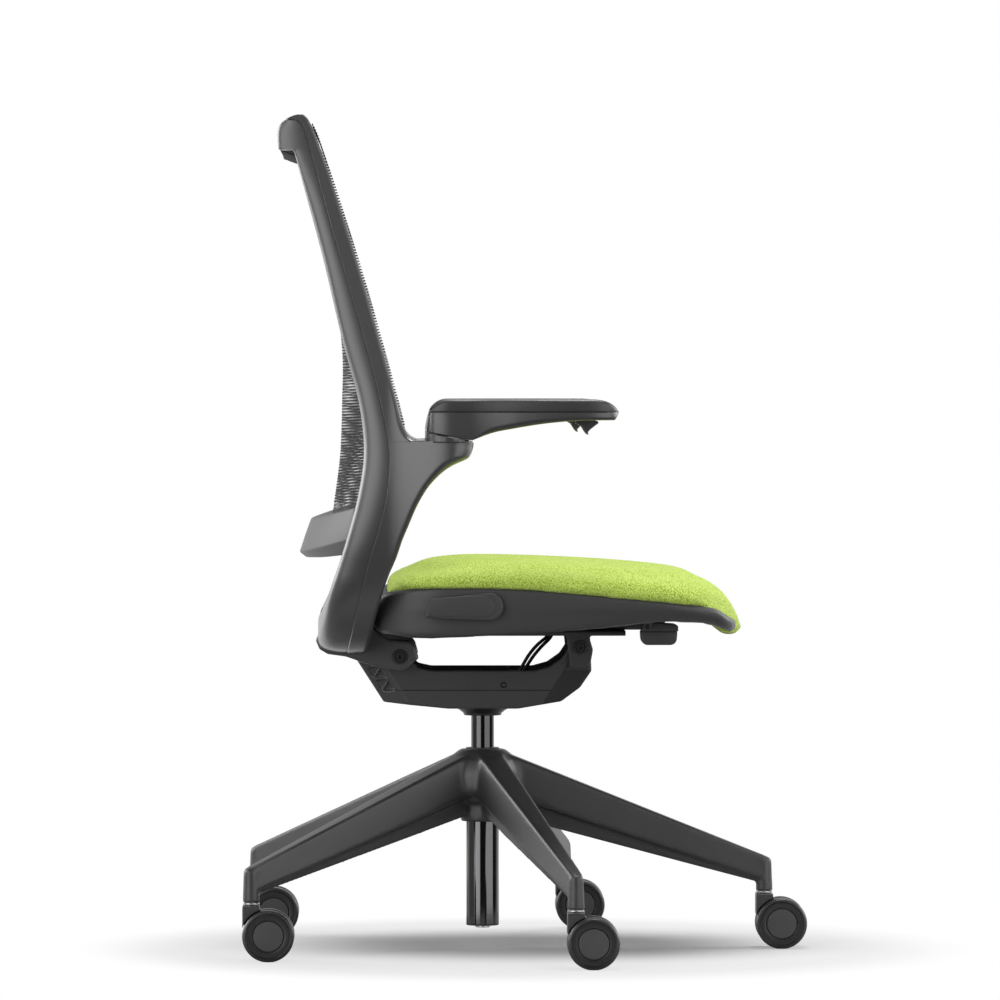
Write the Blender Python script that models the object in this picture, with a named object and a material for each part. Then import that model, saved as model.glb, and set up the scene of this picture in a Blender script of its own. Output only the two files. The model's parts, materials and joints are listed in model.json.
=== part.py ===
"""Office chair on a five-leg caster base: reclining mesh back, flip-up arms, sliding seat.

Metres, +Z up, the chair faces +X. Shapes are drawn in a frame whose origin is on
the floor under the column; upper pieces are drawn above the control tub's floor
and hung under the mechanism empty.
"""

import math

import bmesh
import bpy
from mathutils import Matrix, Vector

MM = 0.001
GAP = 0.3 * MM
ROUND = 22  # facets of the larger turned pieces

# Base and casters
BASE_RADIUS = 344 * MM
WHEEL_RADIUS = 31 * MM
WHEEL_WIDTH = 17 * MM
WHEEL_FACETS = 18
WHEEL_SPACING = 16 * MM
CASTER_TRAIL = 20.5 * MM
AXLE_RADIUS = 4 * MM
STEM_RADIUS = 5.5 * MM
STEM_PIN_RADIUS = 4.2 * MM
STEM_LENGTH = 29 * MM
COLLAR_HEIGHT = 2.8 * MM
HOOD_TOP = 66.4 * MM
BOSS_RADIUS = 10.4 * MM
BOSS_NECK = 9 * MM
HUB_RADIUS = 36 * MM
HUB_TOP = 243 * MM
HUB_BOTTOM = 155 * MM
LEG_TOP = (238 * MM, 111 * MM)
LEG_CREASE = (193 * MM, 83 * MM)
LEG_KEEL = (166 * MM, 77 * MM)

# Column
TUBE_RADIUS = 20 * MM
TUBE_WALL = 1.8 * MM
TUBE_FOOT = 28 * MM
CYLINDER_RADIUS = 14 * MM
CYLINDER_LENGTH = 223 * MM
PISTON_RADIUS = 5 * MM
BUTTON_RADIUS = 4 * MM
ROD_SHOWN = 37.5 * MM
CONE_HEIGHT = 15 * MM

# Control tub
TUB_HALF = 85 * MM
TUB_WALL = 5 * MM
TUB_FLOOR = 6 * MM
SOCKET_RADIUS = 21.5 * MM
PIN_RADIUS = 6 * MM
REAR_PIVOT = Vector((-100.6, 0, 63.8)) * MM
FRONT_PIVOT = Vector((117.2, 0, 74.7)) * MM
FORK_PLAY = 3 * MM
FORK_WIDTH = 19.4 * MM

# Seat
SEAT_HALF = 236 * MM
CUSHION_OVERHANG = 8 * MM
CARRIAGE_LEVEL = 88.5 * MM
CARRIAGE_THICK = 6 * MM
BRACKET_WIDTH = 6.7 * MM
PADDLE_THICK = 6.5 * MM
PADDLE_PIVOT = Vector((5.3, 0, 128.5)) * MM
HANDLE_PIVOT = Vector((196, 0, 103)) * MM
HANDLE_INSET = 86 * MM
HANDLE_HALF = 22 * MM

# Back
MESH_THICK = 2.2 * MM

# Arms
ARM_SIDE = 262 * MM
ARM_PIVOT = Vector((-50, 0, 340.5)) * MM
POST_TOP = 322.7 * MM
PAD_THICK = 14.2 * MM
PAD_TOP = 373.8 * MM
ARM_PIN_RADIUS = 4 * MM
TONGUE_HALF = 5 * MM
TRIGGER_PIVOT = Vector((120.7, 0, 351.5)) * MM

FORK_INNER = TUB_HALF + FORK_PLAY
FORK_OUTER = FORK_INNER + FORK_WIDTH
HANDLE_SIDE = SEAT_HALF - HANDLE_INSET
AXLE_HEIGHT = WHEEL_RADIUS * math.cos(math.pi / WHEEL_FACETS)
MECH_Z = HUB_TOP + ROD_SHOWN + CONE_HEIGHT
CENTRE_X = BASE_RADIUS * (1 - math.cos(math.radians(36))) / 2 + CASTER_TRAIL
STEM_BASE = HOOD_TOP + GAP
BOSS_BOTTOM = STEM_BASE + COLLAR_HEIGHT + GAP

FINISHES = {  # colour, roughness, metallic
    "plastic": ((0.06, 0.06, 0.062, 1), 0.45, 0),
    "tread": ((0.07, 0.07, 0.07, 1), 0.5, 0),
    "steel": ((0.6, 0.6, 0.62, 1), 0.3, 1),
    "black_steel": ((0.03, 0.03, 0.03, 1), 0.2, 0.6),
    "fabric": ((0.5, 0.68, 0.18, 1), 0.9, 0),
    "mesh": ((0.04, 0.04, 0.04, 1), 0.8, 0),
}


def clear_scene():
    for old in list(bpy.data.objects):
        bpy.data.objects.remove(old, do_unlink=True)


def welded(mesh):
    """Joins points that lie within 0.01 mm and turns all faces outward."""
    bm = bmesh.new()
    bm.from_mesh(mesh)
    bmesh.ops.remove_doubles(bm, verts=bm.verts[:], dist=1e-5)
    bmesh.ops.dissolve_degenerate(bm, edges=bm.edges[:], dist=1e-6)
    bmesh.ops.recalc_face_normals(bm, faces=bm.faces[:])
    bm.to_mesh(mesh)
    bm.free()


def add(name, mesh, finish):
    """Links a mesh as a named object with its own material, faces out."""
    welded(mesh)
    obj = bpy.data.objects.new(name, mesh)
    bpy.context.scene.collection.objects.link(obj)
    paint = bpy.data.materials.new(name)
    paint.use_nodes = True
    shader = paint.node_tree.nodes["Principled BSDF"]
    colour, roughness, metallic = FINISHES[finish]
    shader.inputs["Base Color"].default_value = colour
    shader.inputs["Roughness"].default_value = roughness
    shader.inputs["Metallic"].default_value = metallic
    mesh.materials.clear()
    mesh.materials.append(paint)
    return obj


def applied(obj):
    """Turns an object's modifiers into its mesh."""
    graph = bpy.context.evaluated_depsgraph_get()
    mesh = bpy.data.meshes.new_from_object(obj.evaluated_get(graph))
    obj.modifiers.clear()
    obj.data = mesh
    return obj


def merge(obj, other, operation):
    """Exact boolean of two objects in the same frame; the second is used up."""
    other.hide_render = True
    other.display_type = "WIRE"
    step = obj.modifiers.new(operation.lower(), "BOOLEAN")
    step.operation = operation
    step.solver = "EXACT"
    step.object = other
    welded(applied(obj).data)
    bpy.data.objects.remove(other, do_unlink=True)
    return obj


def join(obj, *others):
    for other in others:
        merge(obj, other, "UNION")
    return obj


def cut(obj, *others):
    for other in others:
        merge(obj, other, "DIFFERENCE")
    return obj


def moved(obj, *place):
    obj.data.transform(Matrix.Translation(Vector(place)))
    return obj


def along_y(obj):
    """Lays a piece turned about Z down along Y."""
    obj.data.transform(Matrix.Rotation(math.radians(-90), 4, "X"))
    return obj


def twin(obj, name):
    """The left-hand copy of a right-hand piece, mirrored in Y."""
    mesh = obj.data.copy()
    mesh.transform(Matrix.Diagonal((1, -1, 1, 1)))
    mesh.flip_normals()
    copy = bpy.data.objects.new(name, mesh)
    bpy.context.scene.collection.objects.link(copy)
    paint = mesh.materials[0].copy()
    paint.name = name
    mesh.materials.clear()
    mesh.materials.append(paint)
    return copy


def mm(points):
    return [tuple(value * MM for value in point) for point in points]


def smooth(points, at):
    """Smooth value at a key, through (key, value) points in either order."""
    rows = sorted(points)
    keys = [row[0] for row in rows]
    at = min(max(at, keys[0]), keys[-1])
    last = len(rows) - 1
    i = max(k for k in range(last) if keys[k] <= at)
    slopes = []
    for k in (i, i + 1):
        low, high = rows[max(k - 1, 0)], rows[min(k + 1, last)]
        slopes.append((high[1] - low[1]) / (high[0] - low[0]))
    span = keys[i + 1] - keys[i]
    t = (at - keys[i]) / span
    a, b = rows[i][1], rows[i + 1][1]
    blend = t * t * (3 - 2 * t)
    lift = t * (1 - t) * (1 - t) * slopes[0] - t * t * (1 - t) * slopes[1]
    return a + (b - a) * blend + lift * span


def arc(cx, cz, radius, start, end, count):
    """Points on a circle from one angle to another, in degrees."""
    found = []
    for k in range(count):
        angle = math.radians(start + (end - start) * k / (count - 1))
        found.append((cx + radius * math.cos(angle), cz + radius * math.sin(angle)))
    return found


def oval(half_u, half_v, power, count):
    """Rounded box outline: power 2 is an ellipse, higher is squarer."""
    found = []
    for k in range(count):
        angle = 2 * math.pi * (k + 0.5) / count
        c, s = math.cos(angle), math.sin(angle)
        u = math.copysign(abs(c) ** (2 / power), c) * half_u
        v = math.copysign(abs(s) ** (2 / power), s) * half_v
        found.append((u, v))
    return found


def loft(name, rings, finish):
    """Closed body through rings of equal point counts."""
    bm = bmesh.new()
    loops = [[bm.verts.new(point) for point in ring] for ring in rings]
    count = len(rings[0])
    for a, b in zip(loops, loops[1:]):
        for i in range(count):
            j = (i + 1) % count
            bm.faces.new((a[i], a[j], b[j], b[i]))
    bm.faces.new(loops[0][::-1])
    bm.faces.new(loops[-1])
    mesh = bpy.data.meshes.new(name)
    bm.to_mesh(mesh)
    bm.free()
    return add(name, mesh, finish)


def slab(name, outline, y0, y1, finish, round_by=0.0):
    """Side outline in X and Z pulled along Y, with rounded rims if asked."""
    bm = bmesh.new()
    face = bm.faces.new([bm.verts.new((x, y0, z)) for x, z in outline])
    pulled = bmesh.ops.extrude_face_region(bm, geom=[face])
    verts = [v for v in pulled["geom"] if isinstance(v, bmesh.types.BMVert)]
    bmesh.ops.translate(bm, verts=verts, vec=(0, y1 - y0, 0))
    if round_by:
        rims = [e for e in bm.edges if abs(e.verts[0].co.y - e.verts[1].co.y) < 1e-9]
        bmesh.ops.bevel(bm, geom=rims, offset=round_by, segments=1, affect="EDGES")
    mesh = bpy.data.meshes.new(name)
    bm.to_mesh(mesh)
    bm.free()
    return add(name, mesh, finish)


def turned(name, profile, steps, finish):
    """Lathe work about Z: (radius, height) from the top down the outer side."""
    mesh = bpy.data.meshes.new(name)
    ends_on_axis = profile[0][0] == 0
    edges = [(i, i + 1) for i in range(len(profile) - 1)]
    if not ends_on_axis:
        edges.append((len(profile) - 1, 0))
    mesh.from_pydata([(r, 0, z) for r, z in profile], edges, [])
    obj = bpy.data.objects.new(name, mesh)
    bpy.context.scene.collection.objects.link(obj)
    screw = obj.modifiers.new("turn", "SCREW")
    screw.axis = "Z"
    screw.steps = steps
    screw.render_steps = steps
    screw.use_merge_vertices = True
    screw.merge_threshold = 1e-6
    solid = applied(obj).data
    bpy.data.objects.remove(obj, do_unlink=True)
    return add(name, solid, finish)


def rod(name, radius, low, high, steps, finish):
    return turned(name, [(0, high), (radius, high), (radius, low), (0, low)], steps, finish)


def bar_y(name, radius, y0, y1, x, z, steps, finish="steel"):
    """Round bar along Y through a point of the side view."""
    return moved(along_y(rod(name, radius, y0, y1, steps, finish)), x, 0, z)


def empty(name, place, parent):
    mark = bpy.data.objects.new(name, None)
    bpy.context.scene.collection.objects.link(mark)
    mark.location = place
    mark.parent = parent
    return mark


def hang(parent, drawn_at, *pieces):
    """Parents pieces to a joint's empty, which stands at drawn_at in their frame."""
    for piece in pieces:
        piece.parent = parent
        piece.location = -Vector(drawn_at)


# Base and column


def leg_ring(reach, share):
    """Cross-section of a leg, share 0 at the hub and 1 at the tip."""
    top = LEG_TOP[0] + (LEG_TOP[1] - LEG_TOP[0]) * share
    crease = LEG_CREASE[0] + (LEG_CREASE[1] - LEG_CREASE[0]) * share
    keel = LEG_KEEL[0] + (LEG_KEEL[1] - LEG_KEEL[0]) * share
    flat = (15 - 9.5 * share) * MM
    wide = (23 - 13.2 * share) * MM
    rib = (10 - 4 * share) * MM
    half = [
        (flat, top),
        (flat + 2.2 * MM, top - 1.6 * MM),
        (wide, crease),
        (rib, crease - 3 * MM),
        (rib * 0.8, keel),
    ]
    ring = [(reach, y, z) for y, z in half]
    ring += [(reach, -y, z) for y, z in reversed(half)]
    return ring


def leg(name):
    far = BASE_RADIUS + BOSS_RADIUS * 0.45
    near = HUB_RADIUS * 0.4
    rings = []
    for share in (0, 0.25, 0.6, 0.9, 0.985):
        rings.append(leg_ring(near + (far - near) * share, share))
    tip = [(far + 2.6 * MM, y * 0.7, z - 1.5 * MM) for _, y, z in leg_ring(far, 1)]
    body = loft(name, rings + [tip], "plastic")
    high = LEG_TOP[1] - 4 * MM
    cone = [(0, high), (BOSS_NECK, high), (BOSS_RADIUS, BOSS_BOTTOM), (0, BOSS_BOTTOM)]
    boss = turned("boss", cone, 14, "plastic")
    return join(body, moved(boss, BASE_RADIUS, 0, 0))


def tube_radius(height):
    """The outer tube and the hub's bore share a slight taper."""
    rise = (height - HUB_BOTTOM) / (HUB_TOP - HUB_BOTTOM)
    return TUBE_RADIUS + 1.2 * MM * max(rise, 0)


def star_base():
    shoulder = HUB_TOP - 14 * MM
    ring = TUBE_RADIUS + 7 * MM
    profile = [
        (0, HUB_TOP),
        (TUBE_RADIUS + 6 * MM, HUB_TOP),
        (HUB_RADIUS, shoulder),
        (HUB_RADIUS, HUB_BOTTOM + 26 * MM),
        (ring, HUB_BOTTOM + 22 * MM),
        (ring, HUB_BOTTOM),
        (0, HUB_BOTTOM),
    ]
    body = turned("star_base", profile, ROUND, "plastic")
    for k in range(5):
        arm = leg("leg")
        arm.data.transform(Matrix.Rotation(math.radians(72 * k), 4, "Z"))
        merge(body, arm, "UNION")
    over = 1 * MM
    top, low = tube_radius(HUB_TOP) + GAP, tube_radius(HUB_BOTTOM) + GAP
    bore = [(0, HUB_TOP + over), (top, HUB_TOP + over), (low, HUB_BOTTOM - over)]
    cut(body, turned("bore", bore + [(0, HUB_BOTTOM - over)], ROUND, "steel"))
    for k in range(5):
        angle = math.radians(72 * k)
        floor = BOSS_BOTTOM + STEM_LENGTH + GAP
        hole = rod("hole", STEM_RADIUS + GAP, BOSS_BOTTOM - over, floor, 12, "steel")
        moved(hole, BASE_RADIUS * math.cos(angle), BASE_RADIUS * math.sin(angle), 0)
        cut(body, hole)
    return body


def column():
    wall = TUBE_RADIUS - TUBE_WALL
    plate = TUBE_FOOT + 4 * MM
    hole = PISTON_RADIUS + GAP
    lip = HUB_TOP - 1.5 * MM
    tube = turned("outer_tube", [
        (wall, lip),
        (tube_radius(lip), lip),
        (TUBE_RADIUS, HUB_BOTTOM),
        (TUBE_RADIUS, TUBE_FOOT),
        (hole, TUBE_FOOT),
        (hole, plate),
        (wall, plate),
    ], ROUND, "black_steel")
    slide = CYLINDER_RADIUS + GAP
    bush = turned("guide_bush", [
        (slide, HUB_TOP + 2 * MM),
        (TUBE_RADIUS + 0.5 * MM, HUB_TOP + 2 * MM),
        (TUBE_RADIUS + 0.5 * MM, lip + GAP),
        (wall - GAP, lip + GAP),
        (wall - GAP, HUB_BOTTOM + 15 * MM),
        (slide, HUB_BOTTOM + 15 * MM),
    ], ROUND, "plastic")
    head = MECH_Z - 26 * MM
    bore = CYLINDER_RADIUS - 5 * MM
    piston = turned("piston_rod", [
        (0, head),
        (bore - GAP, head),
        (bore - GAP, head - 12 * MM),
        (PISTON_RADIUS, head - 12 * MM),
        (PISTON_RADIUS, TUBE_FOOT - GAP),
        (PISTON_RADIUS + 4 * MM, TUBE_FOOT - GAP),
        (PISTON_RADIUS + 4 * MM, TUBE_FOOT - 2.8 * MM),
        (0, TUBE_FOOT - 2.8 * MM),
    ], 16, "steel")
    bearing = turned("thrust_bearing", [
        (hole, plate + 6 * MM),
        (wall - 3 * MM, plate + 6 * MM),
        (wall - 3 * MM, plate + GAP),
        (hole, plate + GAP),
    ], 20, "steel")
    return [tube, bush, piston, bearing]


def gas_cylinder():
    top = MECH_Z + 32.5 * MM
    low = top - CYLINDER_LENGTH
    bore = CYLINDER_RADIUS - 5 * MM
    guide = PISTON_RADIUS + GAP
    valve = BUTTON_RADIUS + GAP
    tube = turned("gas_cylinder", [
        (valve, top),
        (CYLINDER_RADIUS - 1.5 * MM, top),
        (CYLINDER_RADIUS, top - 4 * MM),
        (CYLINDER_RADIUS, low),
        (guide, low),
        (guide, low + 8 * MM),
        (bore, low + 8 * MM),
        (bore, top - 15 * MM),
        (valve, top - 15 * MM),
    ], ROUND, "black_steel")
    button = rod("valve_button", BUTTON_RADIUS, top - 9 * MM, top + 5 * MM, 16, "steel")
    return tube, button


# Casters, drawn about the stem's axis


def caster_hood(name):
    x, z = CASTER_TRAIL, AXLE_HEIGHT
    clear = WHEEL_RADIUS + 1.1 * MM
    back, front = -BOSS_RADIUS, BOSS_RADIUS
    start = math.degrees(math.acos((front - x) / clear))
    end = math.degrees(math.acos((back - x) / clear))
    guard = [(back, HOOD_TOP), (front, HOOD_TOP)] + arc(x, z, clear, start, end, 6)
    body = slab(name, guard, -17 * MM, 17 * MM, "plastic")
    half = WHEEL_SPACING / 2 - 1.4 * MM
    web = [(back + 2 * MM, HOOD_TOP - 3 * MM), (front, HOOD_TOP - 3 * MM)]
    web += arc(x, z, 9.5 * MM, 50, -130, 5) + [(back + 2 * MM, z + 14 * MM)]
    join(body, slab("web", web, -half, half, "plastic"))
    reach = WHEEL_SPACING / 2 + WHEEL_WIDTH - 3.2 * MM
    join(body, bar_y("axle", AXLE_RADIUS, -reach, reach, x, z, 10))
    floor = HOOD_TOP - 17 * MM
    return cut(body, rod("pin", STEM_PIN_RADIUS + GAP, floor, HOOD_TOP + MM, 10, "steel"))


def caster_stem(name):
    top = BOSS_BOTTOM + STEM_LENGTH
    wide = BOSS_RADIUS - 1.2 * MM
    return turned(name, [
        (0, top),
        (STEM_RADIUS, top - 1.5 * MM),
        (STEM_RADIUS, STEM_BASE + COLLAR_HEIGHT),
        (wide, STEM_BASE + COLLAR_HEIGHT),
        (wide, STEM_BASE),
        (STEM_PIN_RADIUS, STEM_BASE),
        (STEM_PIN_RADIUS, HOOD_TOP - 16.5 * MM),
        (0, HOOD_TOP - 16.5 * MM),
    ], 10, "steel")


def caster_wheel(name, side):
    """Wheel about its own centre, outer face away from the hood."""
    inner = WHEEL_SPACING / 2
    outer = inner + WHEEL_WIDTH
    bore = AXLE_RADIUS + GAP
    wheel = turned(name, [
        (0, outer),
        (WHEEL_RADIUS - 3 * MM, outer),
        (WHEEL_RADIUS, outer - 3 * MM),
        (WHEEL_RADIUS, inner),
        (bore, inner),
        (bore, outer - 2.8 * MM),
        (0, outer - 2.8 * MM),
    ], WHEEL_FACETS, "tread")
    along_y(wheel)
    if side < 0:
        wheel.data.transform(Matrix.Diagonal((1, -1, 1, 1)))
        wheel.data.flip_normals()
    return wheel


def casters(root):
    for k in range(5):
        angle = math.radians(72 * k)
        place = Vector((math.cos(angle), math.sin(angle), 0)) * BASE_RADIUS
        swivel = empty(f"caster_{k + 1}", place, root)
        label = f"caster_{k + 1}"
        hang(swivel, (0, 0, 0), caster_stem(f"{label}_stem"), caster_hood(f"{label}_hood"))
        for side, word in ((-1, "right"), (1, "left")):
            wheel = caster_wheel(f"{label}_wheel_{word}", side)
            wheel.parent = swivel
            wheel.location = (CASTER_TRAIL, 0, AXLE_HEIGHT)


# Control tub, drawn above its own floor


def tub_outline():
    rx, rz = REAR_PIVOT.x / MM, REAR_PIVOT.z / MM
    fx, fz = FRONT_PIVOT.x / MM, FRONT_PIVOT.z / MM
    shape = [(-120.5, 7.7), (-42, 0), (42, 0), (94.3, 8.9), (fx, 25.8), (131, 46)]
    shape += arc(fx, fz, 12.5, -10, 170, 7)
    shape += [(95, 62), (80, 51.5), (62, 46.5), (-62, 46.5), (-78, 50)]
    shape += arc(rx, rz, 14, -20, 100, 6)
    return mm(shape + [(-135, 71), (-156, 63)])


SLOPE_TOP = Vector((-156, 0, 63)) * MM
SLOPE_FOOT = Vector((-120.5, 0, 7.7)) * MM
CHAMFER = 26 * MM


def slope_frame(side):
    """Directions down the tub's rear slope, into the tub and outward from it."""
    down = (SLOPE_FOOT - SLOPE_TOP).normalized()
    inward = Vector((-down.z, 0, down.x))
    return down, inward, Vector((0, side, 0))


def corner_wedge(side, inset):
    """Cutter for the slanted corner between the tub's side and its rear slope."""
    down, inward, out = slope_frame(side)
    rings = []
    for end in (SLOPE_TOP - down * 0.04, SLOPE_FOOT + down * 0.04):
        skin = end + out * (TUB_HALF + MM)
        rings.append([
            skin - inward * 9 * MM,
            skin + inward * (CHAMFER + inset),
            end + out * (TUB_HALF - CHAMFER - inset) - inward * 9 * MM,
        ])
    return loft("wedge", rings, "steel")


def slope_pocket(side, start, end):
    """Three-cornered pocket between the diagonal ribs of the slanted corner."""
    down, inward, out = slope_frame(side)
    face = (inward * (CHAMFER + 9 * MM) + out * (CHAMFER + MM)).normalized()
    deep = (inward * (CHAMFER + MM) - out * (CHAMFER + 9 * MM)).normalized()
    middle = SLOPE_TOP + out * (TUB_HALF - 0.37 * CHAMFER) + inward * 0.47 * CHAMFER
    low, high = (-9 * MM, 9 * MM) if start < end else (9 * MM, -9 * MM)
    wide = abs(end - start) * 0.5
    mid = (start + end) / 2
    flat = [(mid - wide, low), (mid + wide, low), (mid, high)]
    rings = []
    for depth in (-6 * MM, 3.2 * MM):
        rings.append([middle + down * u + face * v + deep * depth for u, v in flat])
    return loft("pocket", rings, "steel")


def control_tub():
    body = slab("control_tub", tub_outline(), -TUB_HALF, TUB_HALF, "plastic", 1.2 * MM)
    inner = TUB_HALF - TUB_WALL
    room = [(-114, 14.5), (-42, 6), (42, 6), (91, 14.5), (110, 29), (122, 46), (122, 110)]
    space = slab("room", mm(room + [(-149, 110), (-149, 66)]), -inner, inner, "steel")
    for side in (-1, 1):
        cut(space, corner_wedge(side, 9 * MM))
        cut(body, corner_wedge(side, 0))
        for k in range(5):
            at = (11 + 9 * k) * MM
            ends = (at, at + 14 * MM) if k % 2 else (at + 14 * MM, at)
            cut(body, slope_pocket(side, *ends))
    cut(body, space)
    hole = rod("hole", SOCKET_RADIUS + GAP, -MM, TUB_FLOOR + MM, 24, "steel")
    cut(body, hole)
    reach = TUB_HALF + MM
    for pivot in (REAR_PIVOT, FRONT_PIVOT):
        bore = PIN_RADIUS + GAP
        cut(body, bar_y("bore", bore, -reach, reach, pivot.x, pivot.z, 16))
    for side in (-1, 1):
        ear = mm([(33, 5.5), (33, 41), (43, 41), (43, 5.5)])
        y0, y1 = sorted((side * 6.5 * MM, side * 10.5 * MM))
        join(body, slab("ear", ear, y0, y1, "plastic"))
    return cut(body, bar_y("bore", 2.5 * MM + GAP, -12 * MM, 12 * MM, 38 * MM, 36 * MM, 12))


def column_socket():
    bore = CYLINDER_RADIUS + GAP
    return turned("column_socket", [
        (bore, 26 * MM),
        (SOCKET_RADIUS - MM, 26 * MM),
        (SOCKET_RADIUS, 20 * MM),
        (SOCKET_RADIUS, -GAP),
        (29 * MM, -GAP),
        (28.5 * MM, -3 * MM),
        (19.5 * MM, -12.5 * MM),
        (19.5 * MM, -CONE_HEIGHT),
        (bore, -CONE_HEIGHT),
    ], ROUND, "black_steel")


def headed_pin(name, head, pivot):
    """Cross pin along Y with a low head at each end."""
    rim = head + 2.6 * MM
    big = PIN_RADIUS + 2.5 * MM
    profile = [(0, rim), (big, rim), (big, head), (PIN_RADIUS, head)]
    profile += [(r, -z) for r, z in reversed(profile)]
    pin = along_y(turned(name, profile, 16, "steel"))
    return moved(pin, pivot.x, 0, pivot.z)


def tilt_spring():
    """Torsion spring wound round the rear pivot pin."""
    wire, turns, pitch, steps = 2.6 * MM, 6, 8 * MM, 8
    coil = PIN_RADIUS + 0.5 * MM + wire
    route = []
    for k in range(turns * steps + 1):
        angle = 2 * math.pi * k / steps
        y = (k / steps - turns / 2) * pitch
        route.append(Vector((math.cos(angle) * coil, y, math.sin(angle) * coil)))
    for end, sign in ((0, -1), (-1, 1)):
        leg_end = route[end] + Vector((0, 0, sign * 4 * wire))
        route.insert(0 if end == 0 else len(route), leg_end)
    least = min((a - b).length for i, a in enumerate(route) for b in route[i + 5:])
    print("spring gap to itself, mm:", round((least - 2 * wire) / MM, 2))
    return moved(tube("tilt_spring", route, wire, 1, "steel"), *REAR_PIVOT)


def tube(name, route, radius, roundness, finish):
    """Round tube with closed ends along a route."""
    line = bpy.data.curves.new(name, "CURVE")
    line.dimensions = "3D"
    line.bevel_depth = radius
    line.bevel_resolution = roundness
    line.use_fill_caps = True
    spline = line.splines.new("POLY")
    spline.points.add(len(route) - 1)
    for point, place in zip(spline.points, route):
        point.co = (*place, 1)
    obj = bpy.data.objects.new(name, line)
    bpy.context.scene.collection.objects.link(obj)
    graph = bpy.context.evaluated_depsgraph_get()
    mesh = bpy.data.meshes.new_from_object(obj.evaluated_get(graph))
    bpy.data.objects.remove(obj, do_unlink=True)
    return add(name, mesh, finish)


def cable(name, side, x0):
    """Control cable from the tub's floor up to the seat carriage."""
    top = CARRIAGE_LEVEL - 0.5 * MM
    keys = [(6.6, x0), (14, x0), (34, x0 + 7), (50, x0 + 16), (64, x0 + 30), (74, x0 + 43)]
    keys = mm(keys) + [(top - 6 * MM, (x0 + 48) * MM), (top, (x0 + 48) * MM)]
    route = []
    for k in range(12):
        z = 6.6 * MM + (top - 6.6 * MM) * k / 11
        route.append(Vector((smooth(keys, z), side, z)))
    return tube(name, route, 2.4 * MM, 2, "black_steel")


def lift_rocker():
    """Lever over the lift's valve, on trunnions in the tub's ears."""
    x, z = 38 * MM, 36 * MM
    low = 38 * MM
    shape = mm([(-6, 38), (-6, 42.5), (38, 42.5)]) + arc(x, z, 5.5 * MM, 60, -120, 6)
    shape += [(x - 6 * MM, low)]
    body = slab("lift_rocker", shape, -6 * MM, 6 * MM, "black_steel")
    return join(body, bar_y("trunnion", 2.5 * MM, -10.5 * MM, 10.5 * MM, x, z, 12))


# Seat


SHELL_HALF = mm([
    (-122, 150), (-118, 176), (-108, 201), (-88, 223), (-60, 234), (-20, 236), (200, 236),
    (250, 228), (280, 208), (294, 184), (299, 160),
])
SHELL_RIM = mm([
    (-122, 139), (-98, 147.5), (-50, 151.5), (44, 150), (139, 141.5), (234, 132), (299, 121),
])
SHELL_LOW = mm([
    (-122, 118), (-117, 101), (-108, 94), (-60, 92.5), (44, 97.5), (139, 103.5), (187, 108.5),
    (250, 108), (288, 103), (299, 109),
])
SHELL_X = (-122, -117, -108, -88, -60, 0, 90, 160, 210, 250, 280, 294, 299)


def shell_ring(x, grow):
    half = smooth(SHELL_HALF, x) * SEAT_HALF / (236 * MM) + grow
    high, low = smooth(SHELL_RIM, x) + grow, smooth(SHELL_LOW, x) - grow
    tuck = min(14 * MM, half * 0.2)
    side = (high - low) * 0.45
    right = [(half - 3 * MM, high), (half, high - 3 * MM), (half - 1 * MM, high - side)]
    right += [(half - tuck * 0.4, low + 3 * MM), (half - tuck, low)]
    ring = [(x, -y, z) for y, z in right]
    return ring + [(x, y, z) for y, z in reversed(right)]


def shell_solid(name, grow):
    rings = [shell_ring(x * MM, grow) for x in SHELL_X]
    rings[0] = [(x - grow, y, z) for x, y, z in rings[0]]
    rings[-1] = [(x + grow, y, z) for x, y, z in rings[-1]]
    return loft(name, rings, "plastic")


def seat_shell():
    body = shell_solid("seat_shell", 0)
    rings = []
    for x in (-100, -70, 0, 90, 160, 220, 262):
        at = x * MM
        half = smooth(SHELL_HALF, at) * SEAT_HALF / (236 * MM) - 17 * MM
        roof = smooth(SHELL_RIM, at) - 8 * MM
        floor = smooth(SHELL_LOW, at) - 12 * MM
        rings.append([(at, -half, floor), (at, -half, roof), (at, half, roof), (at, half, floor)])
    cut(body, loft("hollow", rings, "steel"))
    deck = CARRIAGE_LEVEL + CARRIAGE_THICK + GAP
    runner = [(-98 * MM, deck), (215 * MM, deck), (225 * MM, 112 * MM), (225 * MM, 127 * MM)]
    runner += [(60 * MM, 140 * MM), (-70 * MM, 142 * MM), (-98 * MM, 132 * MM)]
    for side in (-1, 1):
        y0, y1 = sorted((side * 66 * MM, side * 76 * MM))
        join(body, slab("runner", runner, y0, y1, "plastic"))
    px, pz = HANDLE_PIVOT.x, HANDLE_PIVOT.z
    for inward in (-1, 1):
        y = -HANDLE_SIDE + inward * (HANDLE_HALF + GAP)
        y0, y1 = sorted((y, y + inward * 5 * MM))
        hanger = [(px - 9 * MM, 131 * MM)] + arc(px, pz, 6 * MM, 190, 350, 5)
        join(body, slab("hanger", hanger + [(px + 9 * MM, 129 * MM)], y0, y1, "plastic"))
        mid = (y0 + y1) / 2
        cut(body, bar_y("bore", 2.6 * MM + GAP, mid - 6 * MM, mid + 6 * MM, px, pz, 12))
    reach = SEAT_HALF + 9 * MM
    bore = bar_y("bore", 6 * MM + GAP, -reach, reach, PADDLE_PIVOT.x, PADDLE_PIVOT.z, 16)
    return cut(body, bore)


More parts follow.
